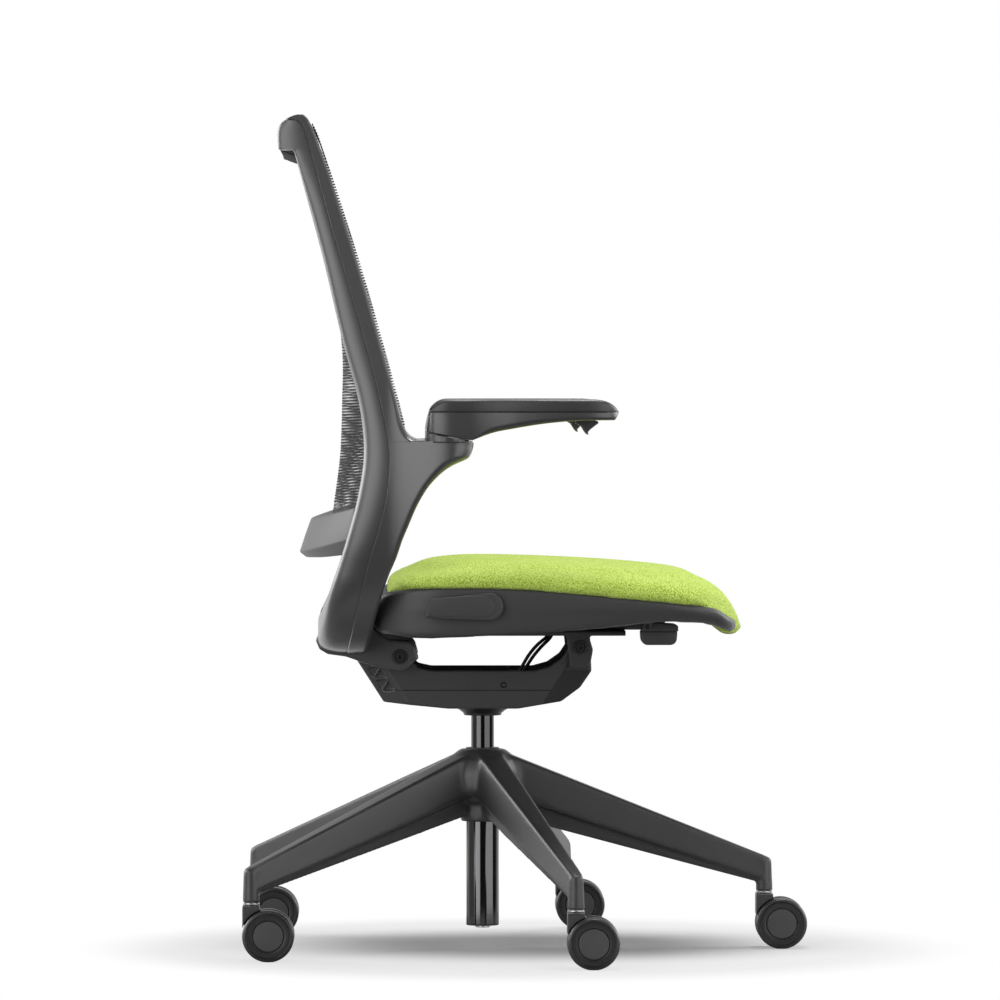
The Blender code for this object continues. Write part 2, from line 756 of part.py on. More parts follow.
CUSHION_TOP = mm([
    (-121, 157), (-100, 169), (-50, 177.5), (0, 179.5), (92, 177), (186, 171), (257, 162),
    (280, 154), (295, 140), (303, 125), (307, 112),
])
CUSHION_HALF = mm([
    (-121, 158), (-116, 184), (-104, 209), (-84, 230), (-55, 242), (-10, 244), (195, 244),
    (245, 237), (278, 217), (296, 192), (307, 160),
])
CUSHION_X = (-121, -115, -102, -80, -50, -5, 60, 125, 185, 230, 262, 283, 297, 304, 307)


def cushion_ring(x):
    """Cross-section: crowned top, rounded shoulders, sides drawn in at the seam."""
    half = smooth(CUSHION_HALF, x) * (SEAT_HALF + CUSHION_OVERHANG) / (244 * MM)
    high = smooth(CUSHION_TOP, x)
    wrap = smooth(mm([(-121, 0), (262, 0), (278, -1), (290, -20), (300, -24), (307, -14)]), x)
    low = min(smooth(SHELL_RIM, x) - 3 * MM + wrap, high - 14 * MM)
    body = high - low
    right = [
        (half * 0.42, high - body * 0.01),
        (half * 0.74, high - body * 0.08),
        (half - 15 * MM, high - body * 0.22),
        (half - 4 * MM, high - body * 0.42),
        (half, high - body * 0.62),
        (half - 1.5 * MM, high - body * 0.8),
        (half - 4 * MM, low),
        (half * 0.55, low),
    ]
    ring = [(x, -y, z) for y, z in right]
    return [(x, 0, high)] + ring + [(x, y, z) for y, z in reversed(right)]


def seat_cushion():
    body = loft("seat_cushion", [cushion_ring(x * MM) for x in CUSHION_X], "fabric")
    return cut(body, shell_solid("seat", 2.5 * GAP))


def seat_carriage():
    """Slide plate under the shell, with lugs down to the front pivot."""
    half = FORK_INNER + BRACKET_WIDTH - 1.4 * MM
    low, high = CARRIAGE_LEVEL, CARRIAGE_LEVEL + CARRIAGE_THICK
    back, front = -50 * MM, 172 * MM
    shape = [(back, low), (front, low), (front, high), (back, high)]
    body = slab("seat_carriage", shape, -half, half, "black_steel", MM)
    fx, fz = FRONT_PIVOT.x, FRONT_PIVOT.z
    lug = [(-17, low + 3 * MM - fz), (-14, -10 * MM), (-13.6, -23 * MM), (-10, -26 * MM)]
    lug += [(8, -25 * MM), (13, -16 * MM), (15.3, -3 * MM), (12, 8 * MM), (11, low + 3 * MM - fz)]
    lug = [(fx + x * MM, fz + z) for x, z in lug]
    for side in (-1, 1):
        y0, y1 = sorted((side * (half - BRACKET_WIDTH), side * half))
        join(body, slab("lug", lug, y0, y1, "black_steel"))
    return cut(body, bar_y("bore", PIN_RADIUS + GAP, -half - MM, half + MM, fx, fz, 16))


def paddle(name):
    """Right-hand side paddle with its stub through the shell's wall."""
    x, z = PADDLE_PIVOT.x, PADDLE_PIVOT.z
    shape = arc(x, z, 17 * MM, 80, -80, 9)
    shape += [(x - 55 * MM, z - 15 * MM), (x - 76 * MM, z - 13 * MM)]
    shape += [(x - 71 * MM, z + 9 * MM), (x - 40 * MM, z + 12 * MM)]
    face = -SEAT_HALF - GAP
    body = slab(name, shape, face - PADDLE_THICK, face, "plastic", 1.5 * MM)
    return join(body, bar_y("stub", 6 * MM, -SEAT_HALF + 24 * MM, face - MM, x, z, 16))


def depth_handle():
    px, pz = HANDLE_PIVOT.x, HANDLE_PIVOT.z
    shape = arc(px, pz, 5 * MM, 100, 200, 4) + mm([(186, 88), (192, 81.5), (224, 80), (231, 86)])
    shape += mm([(232.5, 100), (228, 105)])
    y0, y1 = -HANDLE_SIDE - HANDLE_HALF, -HANDLE_SIDE + HANDLE_HALF
    body = slab("depth_handle", shape, y0, y1, "plastic", 1.2 * MM)
    return join(body, bar_y("trunnion", 2.6 * MM, y0 - 4.6 * MM, y1 + 4.6 * MM, px, pz, 12))


# Back, drawn above the tub's floor


PATH_FOOT = FORK_OUTER + 2 * GAP  # the uprights end on the fork's outer faces
PATH_KNEE = 205 * MM


def path_points():
    """Middle line of the upright in Y and Z, from the rail down to the fork."""
    drawn = mm([
        (193, 671), (203, 606), (213, 540), (228, 444), (240, 373), (246, 314), (246, 262),
        (238, 205), (225, 165), (205, 135), (175, 113), (140, 101), (108, 97),
    ])
    foot = drawn[-1]
    points = []
    for y, z in drawn:
        share = max(PATH_KNEE - z, 0) / (PATH_KNEE - foot[1])
        points.append((y + (PATH_FOOT - foot[0]) * share, z))
    return points


PATH = path_points()
REAR_EDGE = mm([
    (671, -227), (634, -217), (545, -193), (444, -169), (373, -150), (314, -143.5),
    (262, -150), (205, -163), (160, -175), (122, -187), (97, -198),
])
SEAM = mm([
    (671, -208.5), (570, -180.5), (450, -145.5), (367, -124), (303, -113.5), (243, -121),
    (184, -139), (122, -157), (97, -165),
])
FRONT_EDGE = mm([
    (671, -190), (616, -173), (525, -145.5), (441, -122), (373, -104), (310, -97),
    (250, -96), (193, -104), (160, -118), (122, -131), (97, -139),
])
THICKNESS = mm([
    (671, 24), (545, 26), (444, 28), (373, 32), (314, 36), (262, 36), (205, 34),
    (165, 36), (135, 40), (113, 46), (97, 52),
])


def path_run(i):
    """Direction of the upright's path at a station, in Y and Z."""
    if i == 0:
        return Vector((0, -1))
    if i == len(PATH) - 1:
        return Vector((-1, 0))
    return (Vector(PATH[i + 1]) - Vector(PATH[i - 1])).normalized()


def upright_inner(z):
    """Half-width between the uprights' inner faces at a height."""
    face = []
    for i, (y, level) in enumerate(PATH):
        run = path_run(i) * smooth(THICKNESS, level) / 2
        face.append((level - run.x, y + run.y))
    for (high, a), (low, b) in zip(face, face[1:]):
        if low <= z <= high:
            return b + (a - b) * (z - low) / (high - low)
    return face[0][1]


def upright(name, rear, rear_shift, front, front_shift, power):
    """Right-hand strip of the back frame between two edges of the side view."""
    rings = []
    for i, (y, z) in enumerate(PATH):
        run = path_run(i)
        x0, x1 = smooth(rear, z) + rear_shift, smooth(front, z) + front_shift
        thick = smooth(THICKNESS, z)
        ring = []
        for u, v in oval((x1 - x0) / 2, thick / 2, power, 12):
            ring.append(((x0 + x1) / 2 + u, -y - run.y * v, z - run.x * v))
        rings.append(ring)
    return loft(name, rings, "plastic")


def rounded_box(half_y, low, high, corner):
    """Box outline with two-facet corners, in Y and Z."""
    found = []
    mid, tall = (low + high) / 2, (high - low) / 2
    corner = min(corner, half_y * 0.9, tall * 0.9)
    for sy, sz, start in ((1, 1, 0), (-1, 1, 90), (-1, -1, 180), (1, -1, 270)):
        cy, cz = sy * (half_y - corner), mid + sz * (tall - corner)
        found += arc(cy, cz, corner, start, start + 90, 3)
    return found


def arm_post():
    """Post that grows forward out of the right-hand strip and ends in a flat seat."""
    top = mm([(-112, 362), (-104, 358), (-98, 346), (-92, 332), (-86, 326.3)])
    top += [(-77 * MM, POST_TOP), (-40 * MM, POST_TOP), (-14 * MM, POST_TOP)]
    low = mm([
        (-112, 190), (-104, 200), (-92, 225), (-80, 251), (-68, 270.5), (-54, 285),
        (-39, 295.5), (-20, 303.5), (-14, 307),
    ])
    side = mm([(-112, 246), (-92, 252), (-70, 261), (-50, 262), (-14, 262)])
    rings = []
    for station in (-112, -104, -98, -92, -86, -77, -66, -54, -42, -30, -21, -16):
        x = station * MM
        nose = max(1 - ((x + 41.5 * MM) / (27 * MM)) ** 2, 0) ** 0.5
        half = smooth(mm([(-112, 15), (-98, 18), (-77, 22.5), (-54, 25)]), x)
        if x > -41.5 * MM:
            half = 25 * MM * nose
        y = smooth(side, x) - 262 * MM + ARM_SIDE
        z0, z1 = smooth(low, x), smooth(top, x)
        if x > -80 * MM:
            z1 = POST_TOP
        rings.append([(x, -y + v, z) for v, z in rounded_box(half, z0, z1, 9 * MM)])
    return loft("post", rings, "plastic")


HEAD_FRONT = mm([
    (-191, 668), (-198.6, 685.3), (-205.8, 701), (-210.5, 709.5), (-215.6, 713.8), (-219, 714.5),
    (-230, 711.8), (-236, 708.6),
])
HEAD_SEAM = mm([
    (-230, 709), (-225, 708.2), (-221, 704), (-216.7, 696), (-213.7, 689), (-207.7, 668),
])
HEAD_REAR = mm([
    (-242.8, 704.5), (-245.8, 698.7), (-246.7, 691), (-246, 677), (-244.8, 671.3), (-231, 674.8),
    (-225, 668),
])


def shifted(points, by):
    """Seam points moved to one side of the joint."""
    return [(x + by, z + by) for x, z in points]


def back_frames():
    """Right-hand strip and rear lobe, each with its share of the hooked head."""
    y0, y1 = -PATH[0][0] - smooth(THICKNESS, PATH[0][1]) / 2, -upright_inner(PATH[0][1])
    frame = upright("frame_right", SEAM, GAP / 2, FRONT_EDGE, 0, 5)
    head = HEAD_FRONT + shifted(HEAD_SEAM, GAP)
    join(frame, slab("head", head, y0 + MM / 2, y1, "plastic", 1.2 * MM), arm_post())
    carrier = upright("carrier_right", REAR_EDGE, 0, SEAM, -GAP / 2, 2.6)
    hook = list(reversed(shifted(HEAD_SEAM, -GAP))) + HEAD_REAR
    join(carrier, slab("hook", hook, y0 + 1.5 * MM, y1, "plastic", 3 * MM))
    return frame, carrier


def top_rail():
    """Cross rail between the two heads, open below behind its front wall."""
    half = upright_inner(PATH[0][1]) - GAP
    rise = 671.5 * MM
    outline = [(-190.5 * MM, rise)] + HEAD_FRONT[1:] + HEAD_REAR[:-2]
    outline += [(-241 * MM, rise), (-238.5 * MM, 683 * MM), (-211 * MM, 683 * MM)]
    return slab("top_rail", outline + [(-209 * MM, rise)], -half, half, "plastic", 0.8 * MM)


def bar_top(share):
    """Height of the lumbar bar's top edge, share 1 at an upright."""
    return (230.5 + 16 * share * share) * MM


def lumbar_bar():
    """Cross bar that bows back between the uprights and carries the mesh's foot."""
    rings = []
    for k in range(11):
        share = k / 5 - 1
        bow = share * share
        high, low = bar_top(share), (182 + 10 * bow) * MM
        face = (-186 + 45 * bow) * MM
        deep = (24 - 9 * bow) * MM
        lean = (11 - 9 * bow) * MM
        side = [(0, 1), (-2 * MM, 0.5), (-lean, 0.12), (-lean - 3 * MM, 0)]
        points = [(face + x, low + (high - low) * t) for x, t in side]
        back = [(-lean - deep + 6 * MM, 0), (-lean - deep - 2 * MM, 0.13 + 0.17 * bow)]
        back += [(-deep - lean * 0.5, 0.6), (-deep + 1 * MM, 0.97), (-deep + 4 * MM, 1)]
        points += [(face + x, low + (high - low) * t) for x, t in back]
        rings.append([(x, share * (upright_inner(z) - GAP), z) for x, z in points])
    return loft("lumbar_bar", rings, "plastic")


def yoke():
    """Boot of the back: cross beam and the two fork plates on the rear pivot."""
    inner = FORK_INNER + 4 * MM
    rings = []
    for y in (-inner, inner):
        ring = [(-180 * MM + u, y, 93 * MM + v) for u, v in oval(16 * MM, 26 * MM, 3, 16)]
        rings.append(ring)
    body = loft("yoke", rings, "plastic")
    rx, rz = REAR_PIVOT.x / MM, REAR_PIVOT.z / MM
    fork = [(-139, 122), (-186, 122), (-197, 97), (-202.5, 84), (-198, 73), (-188, 67), (-166, 64)]
    fork += [(-132, 52)] + arc(rx, rz, 17, 250, 330, 5)
    fork += [(-78, 62), (-82, 76), (-88, 83), (-114, 85), (-130, 96)]
    for side in (-1, 1):
        y0, y1 = sorted((side * FORK_INNER, side * FORK_OUTER))
        join(body, slab("fork", mm(fork), y0, y1, "plastic", 1.2 * MM))
    reach = FORK_OUTER + MM
    return cut(body, bar_y("bore", PIN_RADIUS + GAP, -reach, reach, REAR_PIVOT.x, REAR_PIVOT.z, 16))


MESH_MIDDLE = mm([
    (671, -203), (565, -186), (435, -171), (373, -171), (312, -173), (276, -177), (228, -184),
])
MESH_EDGE = mm([
    (671, -192), (616, -171), (525, -143.5), (441, -120), (373, -103), (330, -102),
    (285, -110), (245, -126), (228, -134),
])


def back_mesh():
    """Tensioned mesh sheet, hollowed between the uprights."""
    across, up = 10, 11
    rings = []
    for i in range(across + 1):
        share = 2 * i / across - 1
        low, high = bar_top(share) + 0.6 * MM, 671 * MM
        ring = []
        for k in range(up + 1):
            z = low + (high - low) * k / up
            middle, edge = smooth(MESH_MIDDLE, z), smooth(MESH_EDGE, z)
            x = middle + (edge - middle) * share * share
            ring.append(Vector((x, share * (upright_inner(z) - 2 * GAP), z)))
        back = [point - Vector((MESH_THICK, 0, 0)) for point in reversed(ring)]
        rings.append(ring + back)
    return loft("back_mesh", rings, "mesh")


# Arms, the right one, drawn above the tub's floor and beside the chair's middle


COLLAR_X, COLLAR_LONG, COLLAR_WIDE = -42 * MM, 27.6 * MM, 25.4 * MM


def collar_slope(x):
    """Slanted joint plane between the collar and the arm."""
    return 334.6 * MM - (x + 67 * MM) * 0.18


def hinge_block(name):
    """Thin collar on the post with the tongue that holds the arm's pin."""
    outer = oval(COLLAR_LONG, COLLAR_WIDE, 2.2, 24)
    inner = oval(COLLAR_LONG - 2 * MM, COLLAR_WIDE - 1.8 * MM, 2.2, 24)
    low = POST_TOP + GAP
    floor = low + 2 * MM
    rings = []
    for outline, level in ((inner, floor), (inner, None), (outer, None), (outer, low)):
        ring = []
        for u, v in outline:
            x = COLLAR_X + u
            z = max(collar_slope(x), floor + 0.4 * MM) if level is None else level
            ring.append((x, v - ARM_SIDE, z))
        rings.append(ring)
    body = loft(name, rings, "plastic")
    px, pz = ARM_PIVOT.x, ARM_PIVOT.z
    tongue = [(px - TONGUE_HALF, low + MM)] + arc(px, pz, 9.5 * MM, 210, -30, 11)
    tongue += [(px + TONGUE_HALF, low + MM)]
    y = -ARM_SIDE
    join(body, slab("tongue", tongue, y - TONGUE_HALF, y + TONGUE_HALF, "plastic"))
    bore = bar_y("bore", ARM_PIN_RADIUS + GAP, y - 9 * MM, y + 9 * MM, px, pz, 14)
    return cut(body, bore)


ARM_LOW = mm([(-15, 326.2), (9, 335), (32.5, 339.7), (68, 345.5), (105, 349), (154, 350.4)])
ARM_HALF = mm([
    (-66, 4), (-64, 10), (-58, 16.8), (-46, 21.6), (-30, 22.2), (-12, 22.5), (10, 26),
    (40, 32), (80, 36.5), (115, 37.5), (140, 34), (151, 28), (156.5, 20),
])


def arm_body(name):
    """Arm shell: round root inside the collar, widening to the pad's underside."""
    rings = []
    seat = PAD_TOP - PAD_THICK - GAP
    for x in (-66, -64, -58, -46, -30, -12, 10, 40, 80, 115, 140, 151, 156.5):
        at = x * MM
        low = collar_slope(at) + 2 * GAP if x < -13 else smooth(ARM_LOW, at)
        high = min(smooth(mm([(-66, 349), (-64, 355), (-61, 359.3)]), at), seat)
        half = smooth(ARM_HALF, at)
        corner = 3 * MM if x < -13 else 6 * MM
        ring = [(at, v - ARM_SIDE, z) for v, z in rounded_box(half, low, high, corner)]
        rings.append(ring)
    body = loft(name, rings, "plastic")
    px, pz = ARM_PIVOT.x, ARM_PIVOT.z
    slot = [(px - 12.8 * MM, pz - 30 * MM), (px - 12.8 * MM, pz + 11 * MM)]
    slot += [(px + 11 * MM, pz + 11 * MM), (px + 11 * MM, pz - 30 * MM)]
    half = TONGUE_HALF + 2 * GAP
    y = -ARM_SIDE
    cut(body, slab("slot", slot, y - half, y + half, "steel"))
    cut(body, bar_y("bore", ARM_PIN_RADIUS + GAP, y - 17 * MM, y + 17 * MM, px, pz, 14))
    tx, tz = TRIGGER_PIVOT.x, TRIGGER_PIVOT.z
    pocket = [(tx - 17.5 * MM, tz - 20 * MM), (tx - 17.5 * MM, tz + 1 * MM)]
    pocket += [(tx - 5 * MM, tz + 4 * MM), (tx + 5 * MM, tz + 4 * MM)]
    pocket += [(tx + 17.5 * MM, tz + 1 * MM), (tx + 17.5 * MM, tz - 20 * MM)]
    return cut(body, slab("pocket", pocket, y - 9 * MM, y + 9 * MM, "steel"))


def arm_pad(name):
    """Soft cap over the arm, crowned and rounded in plan."""
    low = PAD_TOP - PAD_THICK
    rings = []
    for x in (-61.5, -59, -53, -44, -28, 20, 80, 125, 143, 152, 158):
        at = x * MM
        half = smooth(ARM_HALF, min(at, 155 * MM)) + MM
        drop = smooth(mm([
            (-61.5, 12.5), (-59, 8.5), (-53, 3.9), (-44, 1), (-28, 0), (125, 0), (143, 3), (158, 12),
        ]), at)
        high = PAD_TOP - drop
        right = [(half * 0.45, high), (half - 5 * MM, high - 1 * MM), (half - 1 * MM, high - 3 * MM)]
        right += [(half, min(low + 6 * MM, high - 5 * MM)), (half, low)]
        right = [(max(y, half * 0.46), max(z, low)) if i else (y, z) for i, (y, z) in enumerate(right)]
        ring = [(at, -ARM_SIDE - y, z) for y, z in right]
        rings.append(ring + [(at, -ARM_SIDE + y, z) for y, z in reversed(right)])
    return loft(name, rings, "plastic")


def arm_trigger(name):
    """Finger trigger under the arm, hanging from a barrel in its pocket."""
    tx, tz = TRIGGER_PIVOT.x, TRIGGER_PIVOT.z
    shape = arc(tx, tz, 3.4 * MM, 0, 180, 7)
    shape += mm([(107, 348.3), (106.8, 346.6), (113, 343.1), (116.8, 336.8), (119.2, 333.8)])
    shape += mm([(122.6, 332.2), (121.9, 336), (125.3, 339.4), (130, 343), (134.4, 346.4)])
    shape += mm([(134.2, 348.3)])
    half = 9 * MM - GAP
    return slab(name, shape, -ARM_SIDE - half, -ARM_SIDE + half, "plastic", 0.8 * MM)


def arm_pin(name):
    y = -ARM_SIDE
    half = 16.5 * MM
    return bar_y(name, ARM_PIN_RADIUS, y - half, y + half, ARM_PIVOT.x, ARM_PIVOT.z, 14)


def arms(recline):
    for sign, word in ((-1, "right"), (1, "left")):
        fixed = [hinge_block(f"arm_block_{word}"), arm_pin(f"arm_pin_{word}")]
        moving = [arm_body(f"arm_body_{word}"), arm_pad(f"arm_pad_{word}")]
        trigger = [arm_trigger(f"arm_trigger_{word}")]
        if sign > 0:
            for piece in fixed + moving + trigger:
                piece.data.transform(Matrix.Diagonal((1, -1, 1, 1)))
                piece.data.flip_normals()
        hang(recline, REAR_PIVOT, *fixed)
        side = Vector((0, sign * ARM_SIDE, 0))
        flip = empty(f"arm_flip_{word}", ARM_PIVOT + side - REAR_PIVOT, recline)
        hang(flip, ARM_PIVOT + side, *moving)
        pull = empty(f"trigger_{word}", TRIGGER_PIVOT - ARM_PIVOT, flip)
        hang(pull, TRIGGER_PIVOT + side, *trigger)


def build():
    clear_scene()
    root = empty("chair", (-CENTRE_X, 0, 0), None)
    hang(root, (0, 0, 0), star_base(), *column())
    casters(root)
    lift = empty("lift", (0, 0, 0), root)
    cylinder, button = gas_cylinder()
    hang(lift, (0, 0, 0), cylinder, button)
    control = empty("mechanism", (0, 0, MECH_Z), lift)
    fork = FORK_OUTER + GAP
    lug = FORK_INNER + BRACKET_WIDTH - 1.4 * MM + GAP
    rear_pin = headed_pin("rear_pivot_pin", fork, REAR_PIVOT)
    front_pin = headed_pin("front_pivot_pin", lug, FRONT_PIVOT)
    hang(control, (0, 0, 0), control_tub(), column_socket(), rear_pin, front_pin)
    hang(control, (0, 0, 0), tilt_spring())
    hang(control, (0, 0, 0), cable("lift_cable", -26 * MM, 32), cable("tilt_cable", 26 * MM, 38))
    rock = Vector((38, 0, 36)) * MM
    hang(empty("rocker", rock, control), rock, lift_rocker())
    tilt = empty("seat_tilt", FRONT_PIVOT, control)
    hang(tilt, FRONT_PIVOT, seat_carriage())
    slide = empty("seat_depth", (0, 0, 0), tilt)
    hang(slide, FRONT_PIVOT, seat_shell(), seat_cushion())
    right = paddle("height_paddle")
    left = twin(right, "tilt_paddle")
    for piece, word in ((right, "right"), (left, "left")):
        at = empty(f"paddle_{word}", PADDLE_PIVOT - FRONT_PIVOT, slide)
        hang(at, PADDLE_PIVOT, piece)
    handle = empty("handle", HANDLE_PIVOT - FRONT_PIVOT, slide)
    hang(handle, HANDLE_PIVOT, depth_handle())
    recline = empty("recline", REAR_PIVOT, control)
    frame, carrier = back_frames()
    hang(recline, REAR_PIVOT, frame, carrier)
    hang(recline, REAR_PIVOT, twin(frame, "frame_left"), twin(carrier, "carrier_left"))
    hang(recline, REAR_PIVOT, top_rail(), lumbar_bar(), yoke(), back_mesh())
    arms(recline)


build()
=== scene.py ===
"""Looks of the office chair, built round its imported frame.

The moulded pieces are fine-surfaced copies of the frame's solids, the tubes and wheels
are turned anew, the cushion is blown up as cloth, and the back is strung with cords.
"""

import json
import math

import bmesh
import bpy
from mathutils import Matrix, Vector

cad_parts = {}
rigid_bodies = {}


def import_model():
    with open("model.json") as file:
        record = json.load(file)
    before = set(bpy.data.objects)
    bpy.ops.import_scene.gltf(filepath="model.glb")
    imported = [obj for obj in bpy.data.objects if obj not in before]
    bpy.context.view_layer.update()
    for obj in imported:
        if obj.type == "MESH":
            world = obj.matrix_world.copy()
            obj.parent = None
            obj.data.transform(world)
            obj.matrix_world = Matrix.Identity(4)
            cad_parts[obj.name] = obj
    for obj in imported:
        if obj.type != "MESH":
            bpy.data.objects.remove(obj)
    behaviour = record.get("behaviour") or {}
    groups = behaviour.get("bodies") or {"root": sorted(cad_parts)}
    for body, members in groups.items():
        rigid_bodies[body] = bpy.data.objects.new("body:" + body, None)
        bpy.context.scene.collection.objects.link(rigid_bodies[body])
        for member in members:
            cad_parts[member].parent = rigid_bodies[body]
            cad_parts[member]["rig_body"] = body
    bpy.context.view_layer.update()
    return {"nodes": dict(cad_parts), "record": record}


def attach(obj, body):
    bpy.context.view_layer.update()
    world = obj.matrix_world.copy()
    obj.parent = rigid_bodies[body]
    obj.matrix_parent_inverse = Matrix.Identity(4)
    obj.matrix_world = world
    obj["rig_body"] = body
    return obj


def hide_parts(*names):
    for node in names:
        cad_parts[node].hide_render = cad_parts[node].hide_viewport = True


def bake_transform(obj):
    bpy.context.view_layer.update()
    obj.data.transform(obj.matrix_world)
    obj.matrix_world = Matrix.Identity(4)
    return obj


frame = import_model()

MM = 0.001
COLUMN_X = -53.349 * MM
TUB_LEVEL = 295.5 * MM
ARM_SIDE = 262
WHEEL_LEVEL = 30.529
CASTER_RADIUS = 344
CASTER_TRAIL = 20.5
SIDES = ((-1, "right"), (1, "left"))


def spot(x, y, z):
    """A point given in mm from the column's axis and the tub's floor."""
    return Vector((x * MM + COLUMN_X, y * MM, z * MM + TUB_LEVEL))


def along(points, at):
    """Smooth value at a key, through (key, value) points."""
    rows = sorted(points)
    keys = [row[0] for row in rows]
    at = min(max(at, keys[0]), keys[-1])
    last = len(rows) - 1
    i = max(k for k in range(last) if keys[k] <= at)
    slopes = []
    for k in (i, i + 1):
        low, high = rows[max(k - 1, 0)], rows[min(k + 1, last)]
        slopes.append((high[1] - low[1]) / (high[0] - low[0]))
    span = keys[i + 1] - keys[i]
    t = (at - keys[i]) / span
    a, b = rows[i][1], rows[i + 1][1]
    lift = t * (1 - t) * (1 - t) * slopes[0] - t * t * (1 - t) * slopes[1]
    return a + (b - a) * t * t * (3 - 2 * t) + lift * span


def eased(low, high, at):
    """0 before low, 1 after high, and an even turn between."""
    t = min(max((at - low) / (high - low), 0), 1)
    return t * t * (3 - 2 * t)


# Finishes


class Wire:
    """A shader value that can be added, multiplied and compared in expressions."""

    def __init__(self, finish, socket):
        self.finish = finish
        self.socket = socket

    def math(self, operation, *values):
        return self.finish.node("ShaderNodeMath", {"operation": operation}, dict(enumerate(values)))

    def __add__(self, other):
        return self.math("ADD", self, other)

    def __sub__(self, other):
        return self.math("SUBTRACT", self, other)

    def __rsub__(self, other):
        return self.math("SUBTRACT", other, self)

    def __mul__(self, other):
        return self.math("MULTIPLY", self, other)

    def __pow__(self, other):
        return self.math("POWER", self, other)

    def __gt__(self, other):
        return self.math("GREATER_THAN", self, other)

    def __lt__(self, other):
        return self.math("LESS_THAN", self, other)

    __radd__ = __add__
    __rmul__ = __mul__

    def sine(self):
        return self.math("SINE", self)

    def size(self):
        return self.math("ABSOLUTE", self)

    def most(self, other):
        return self.math("MAXIMUM", self, other)

    def between(self, low, high):
        """0 up to low, 1 from high on, eased between."""
        settings = {"interpolation_type": "SMOOTHSTEP"}
        sockets = {"Value": self, "From Min": low, "From Max": high}
        return self.finish.node("ShaderNodeMapRange", settings, sockets)


class Finish:
    """The node tree of a material or a world, with short ways to add nodes."""

    def __init__(self, owner, shader):
        owner.use_nodes = True
        self.owner = owner
        self.tree = owner.node_tree
        self.shader = self.tree.nodes[shader]

    def node(self, kind, settings, sockets, out=0):
        made = self.tree.nodes.new(kind)
        for key, value in settings.items():
            setattr(made, key, value)
        for key, value in sockets.items():
            self.feed(made.inputs[key], value)
        return Wire(self, made.outputs[out])

    def feed(self, socket, value):
        if isinstance(value, Wire):
            self.tree.links.new(value.socket, socket)
        else:
            socket.default_value = value

    def set(self, **sockets):
        for key, value in sockets.items():
            self.feed(self.shader.inputs[key.replace("_", " ")], value)

    def blend(self, share, low, high):
        """A colour between two others."""
        settings = {"data_type": "RGBA", "clamp_factor": True}
        return self.node("ShaderNodeMix", settings, {0: share, 6: low, 7: high}, 2)

    def place(self, source="Object"):
        return self.node("ShaderNodeTexCoord", {}, {}, source)

    def noise(self, place, scale, detail=2.0):
        sockets = {"Vector": place, "Scale": scale, "Detail": detail}
        return self.node("ShaderNodeTexNoise", {}, sockets)

    def axes(self, vector):
        first = self.node("ShaderNodeSeparateXYZ", {}, {0: vector})
        return [Wire(self, output) for output in first.socket.node.outputs]

    def bump(self, height, depth):
        relief = self.node("ShaderNodeBump", {}, {"Distance": depth, "Height": height})
        self.set(Normal=relief)


def finish(name):
    return Finish(bpy.data.materials.new(name), "Principled BSDF")


def grey(value):
    return (value, value, value * 1.03, 1.0)


def moulded(name, shade, rough, grain, lines=None, gloss=0.5, coat=0.0):
    """Grained plastic with faint flow marks, painted highlights on its sharp edges and, if given,
    darkened sunk marks, which are engraved lines and, on the tub, also painted shade.
    """
    f = finish(name)
    place = f.place()
    flow = f.noise(place, 9.0, 3.0)
    speck = f.noise(place, 1500.0)
    edge = f.node("ShaderNodeNewGeometry", {}, {}, "Pointiness")
    # Painted highlight: sharp convex edges, found by pointiness, are lightened in colour.
    edge_highlight = edge.between(0.52, 0.68)
    tone = flow * 0.7 + speck * 0.3 + edge_highlight * 0.12
    shades = [grey(shade * 0.8), grey(shade * 1.25)]
    colour = f.blend(tone, *shades)
    height = speck * (grain / 0.5)
    if lines:
        mark, lit, depth = lines(f.axes(place))
        colour = f.blend(mark, colour, grey(shade * lit))
        height = height - mark * (depth / 0.5)
    f.set(Base_Color=colour, Roughness=rough - 0.05 + flow * 0.06 + speck * 0.06)
    f.set(Specular_IOR_Level=gloss, Coat_Weight=coat, Coat_Roughness=rough)
    f.bump(height, 0.5 * MM)
    return f.owner


def tub_joints_and_painted_shade(axes):
    """Parting line low on the tub's side, the edge of its nose, and painted shade over the recessed
    front beyond that edge.
    """
    x, _, z = axes
    level = (z - (TUB_LEVEL + 22.5 * MM)).size() < 0.6 * MM
    slope = x - COLUMN_X - 67.3 * MM - (z - TUB_LEVEL) * 0.65
    edge = (slope - 0.6 * MM).size() < 0.7 * MM
    # Painted shade: the recessed front beyond the nose edge, low down, is darkened in colour.
    nose = (slope > 0.6 * MM) * (z < TUB_LEVEL + 47 * MM)
    return (level * (slope < 0)).most(edge * 0.8).most(nose * 0.75), 0.15, 0.4


def black_chrome(name, shade, rough):
    """Dark plated steel tube with faint drawing lines round it."""
    f = finish(name)
    sockets = {"Vector": f.place(), "Scale": (1.0, 1.0, 60.0)}
    lines = f.noise(f.node("ShaderNodeMapping", {}, sockets), 40.0, 3.0)
    f.set(Base_Color=f.blend(lines, grey(shade * 0.9), grey(shade * 1.1)))
    f.set(Metallic=1.0, Roughness=rough + lines * 0.05)
    return f.owner


def plated(name, shade, rough):
    """Bright plated steel with a light haze."""
    f = finish(name)
    haze = f.noise(f.place(), 160.0, 3.0)
    f.set(Base_Color=f.blend(haze, grey(shade * 0.92), grey(shade)))
    f.set(Metallic=1.0, Roughness=rough + haze * 0.12)
    return f.owner


def wheel_nylon(name, shade, rough):
    """Hard nylon: smooth, with faint scuffs."""
    f = finish(name)
    place = f.place()
    scuff = f.noise(place, 300.0, 4.0)
    cloud = f.noise(place, 40.0)
    f.set(Base_Color=f.blend(cloud, grey(shade * 0.85), grey(shade * 1.2)))
    f.set(Roughness=rough + scuff * 0.15)
    f.bump(scuff, 0.03 * MM)
    return f.owner


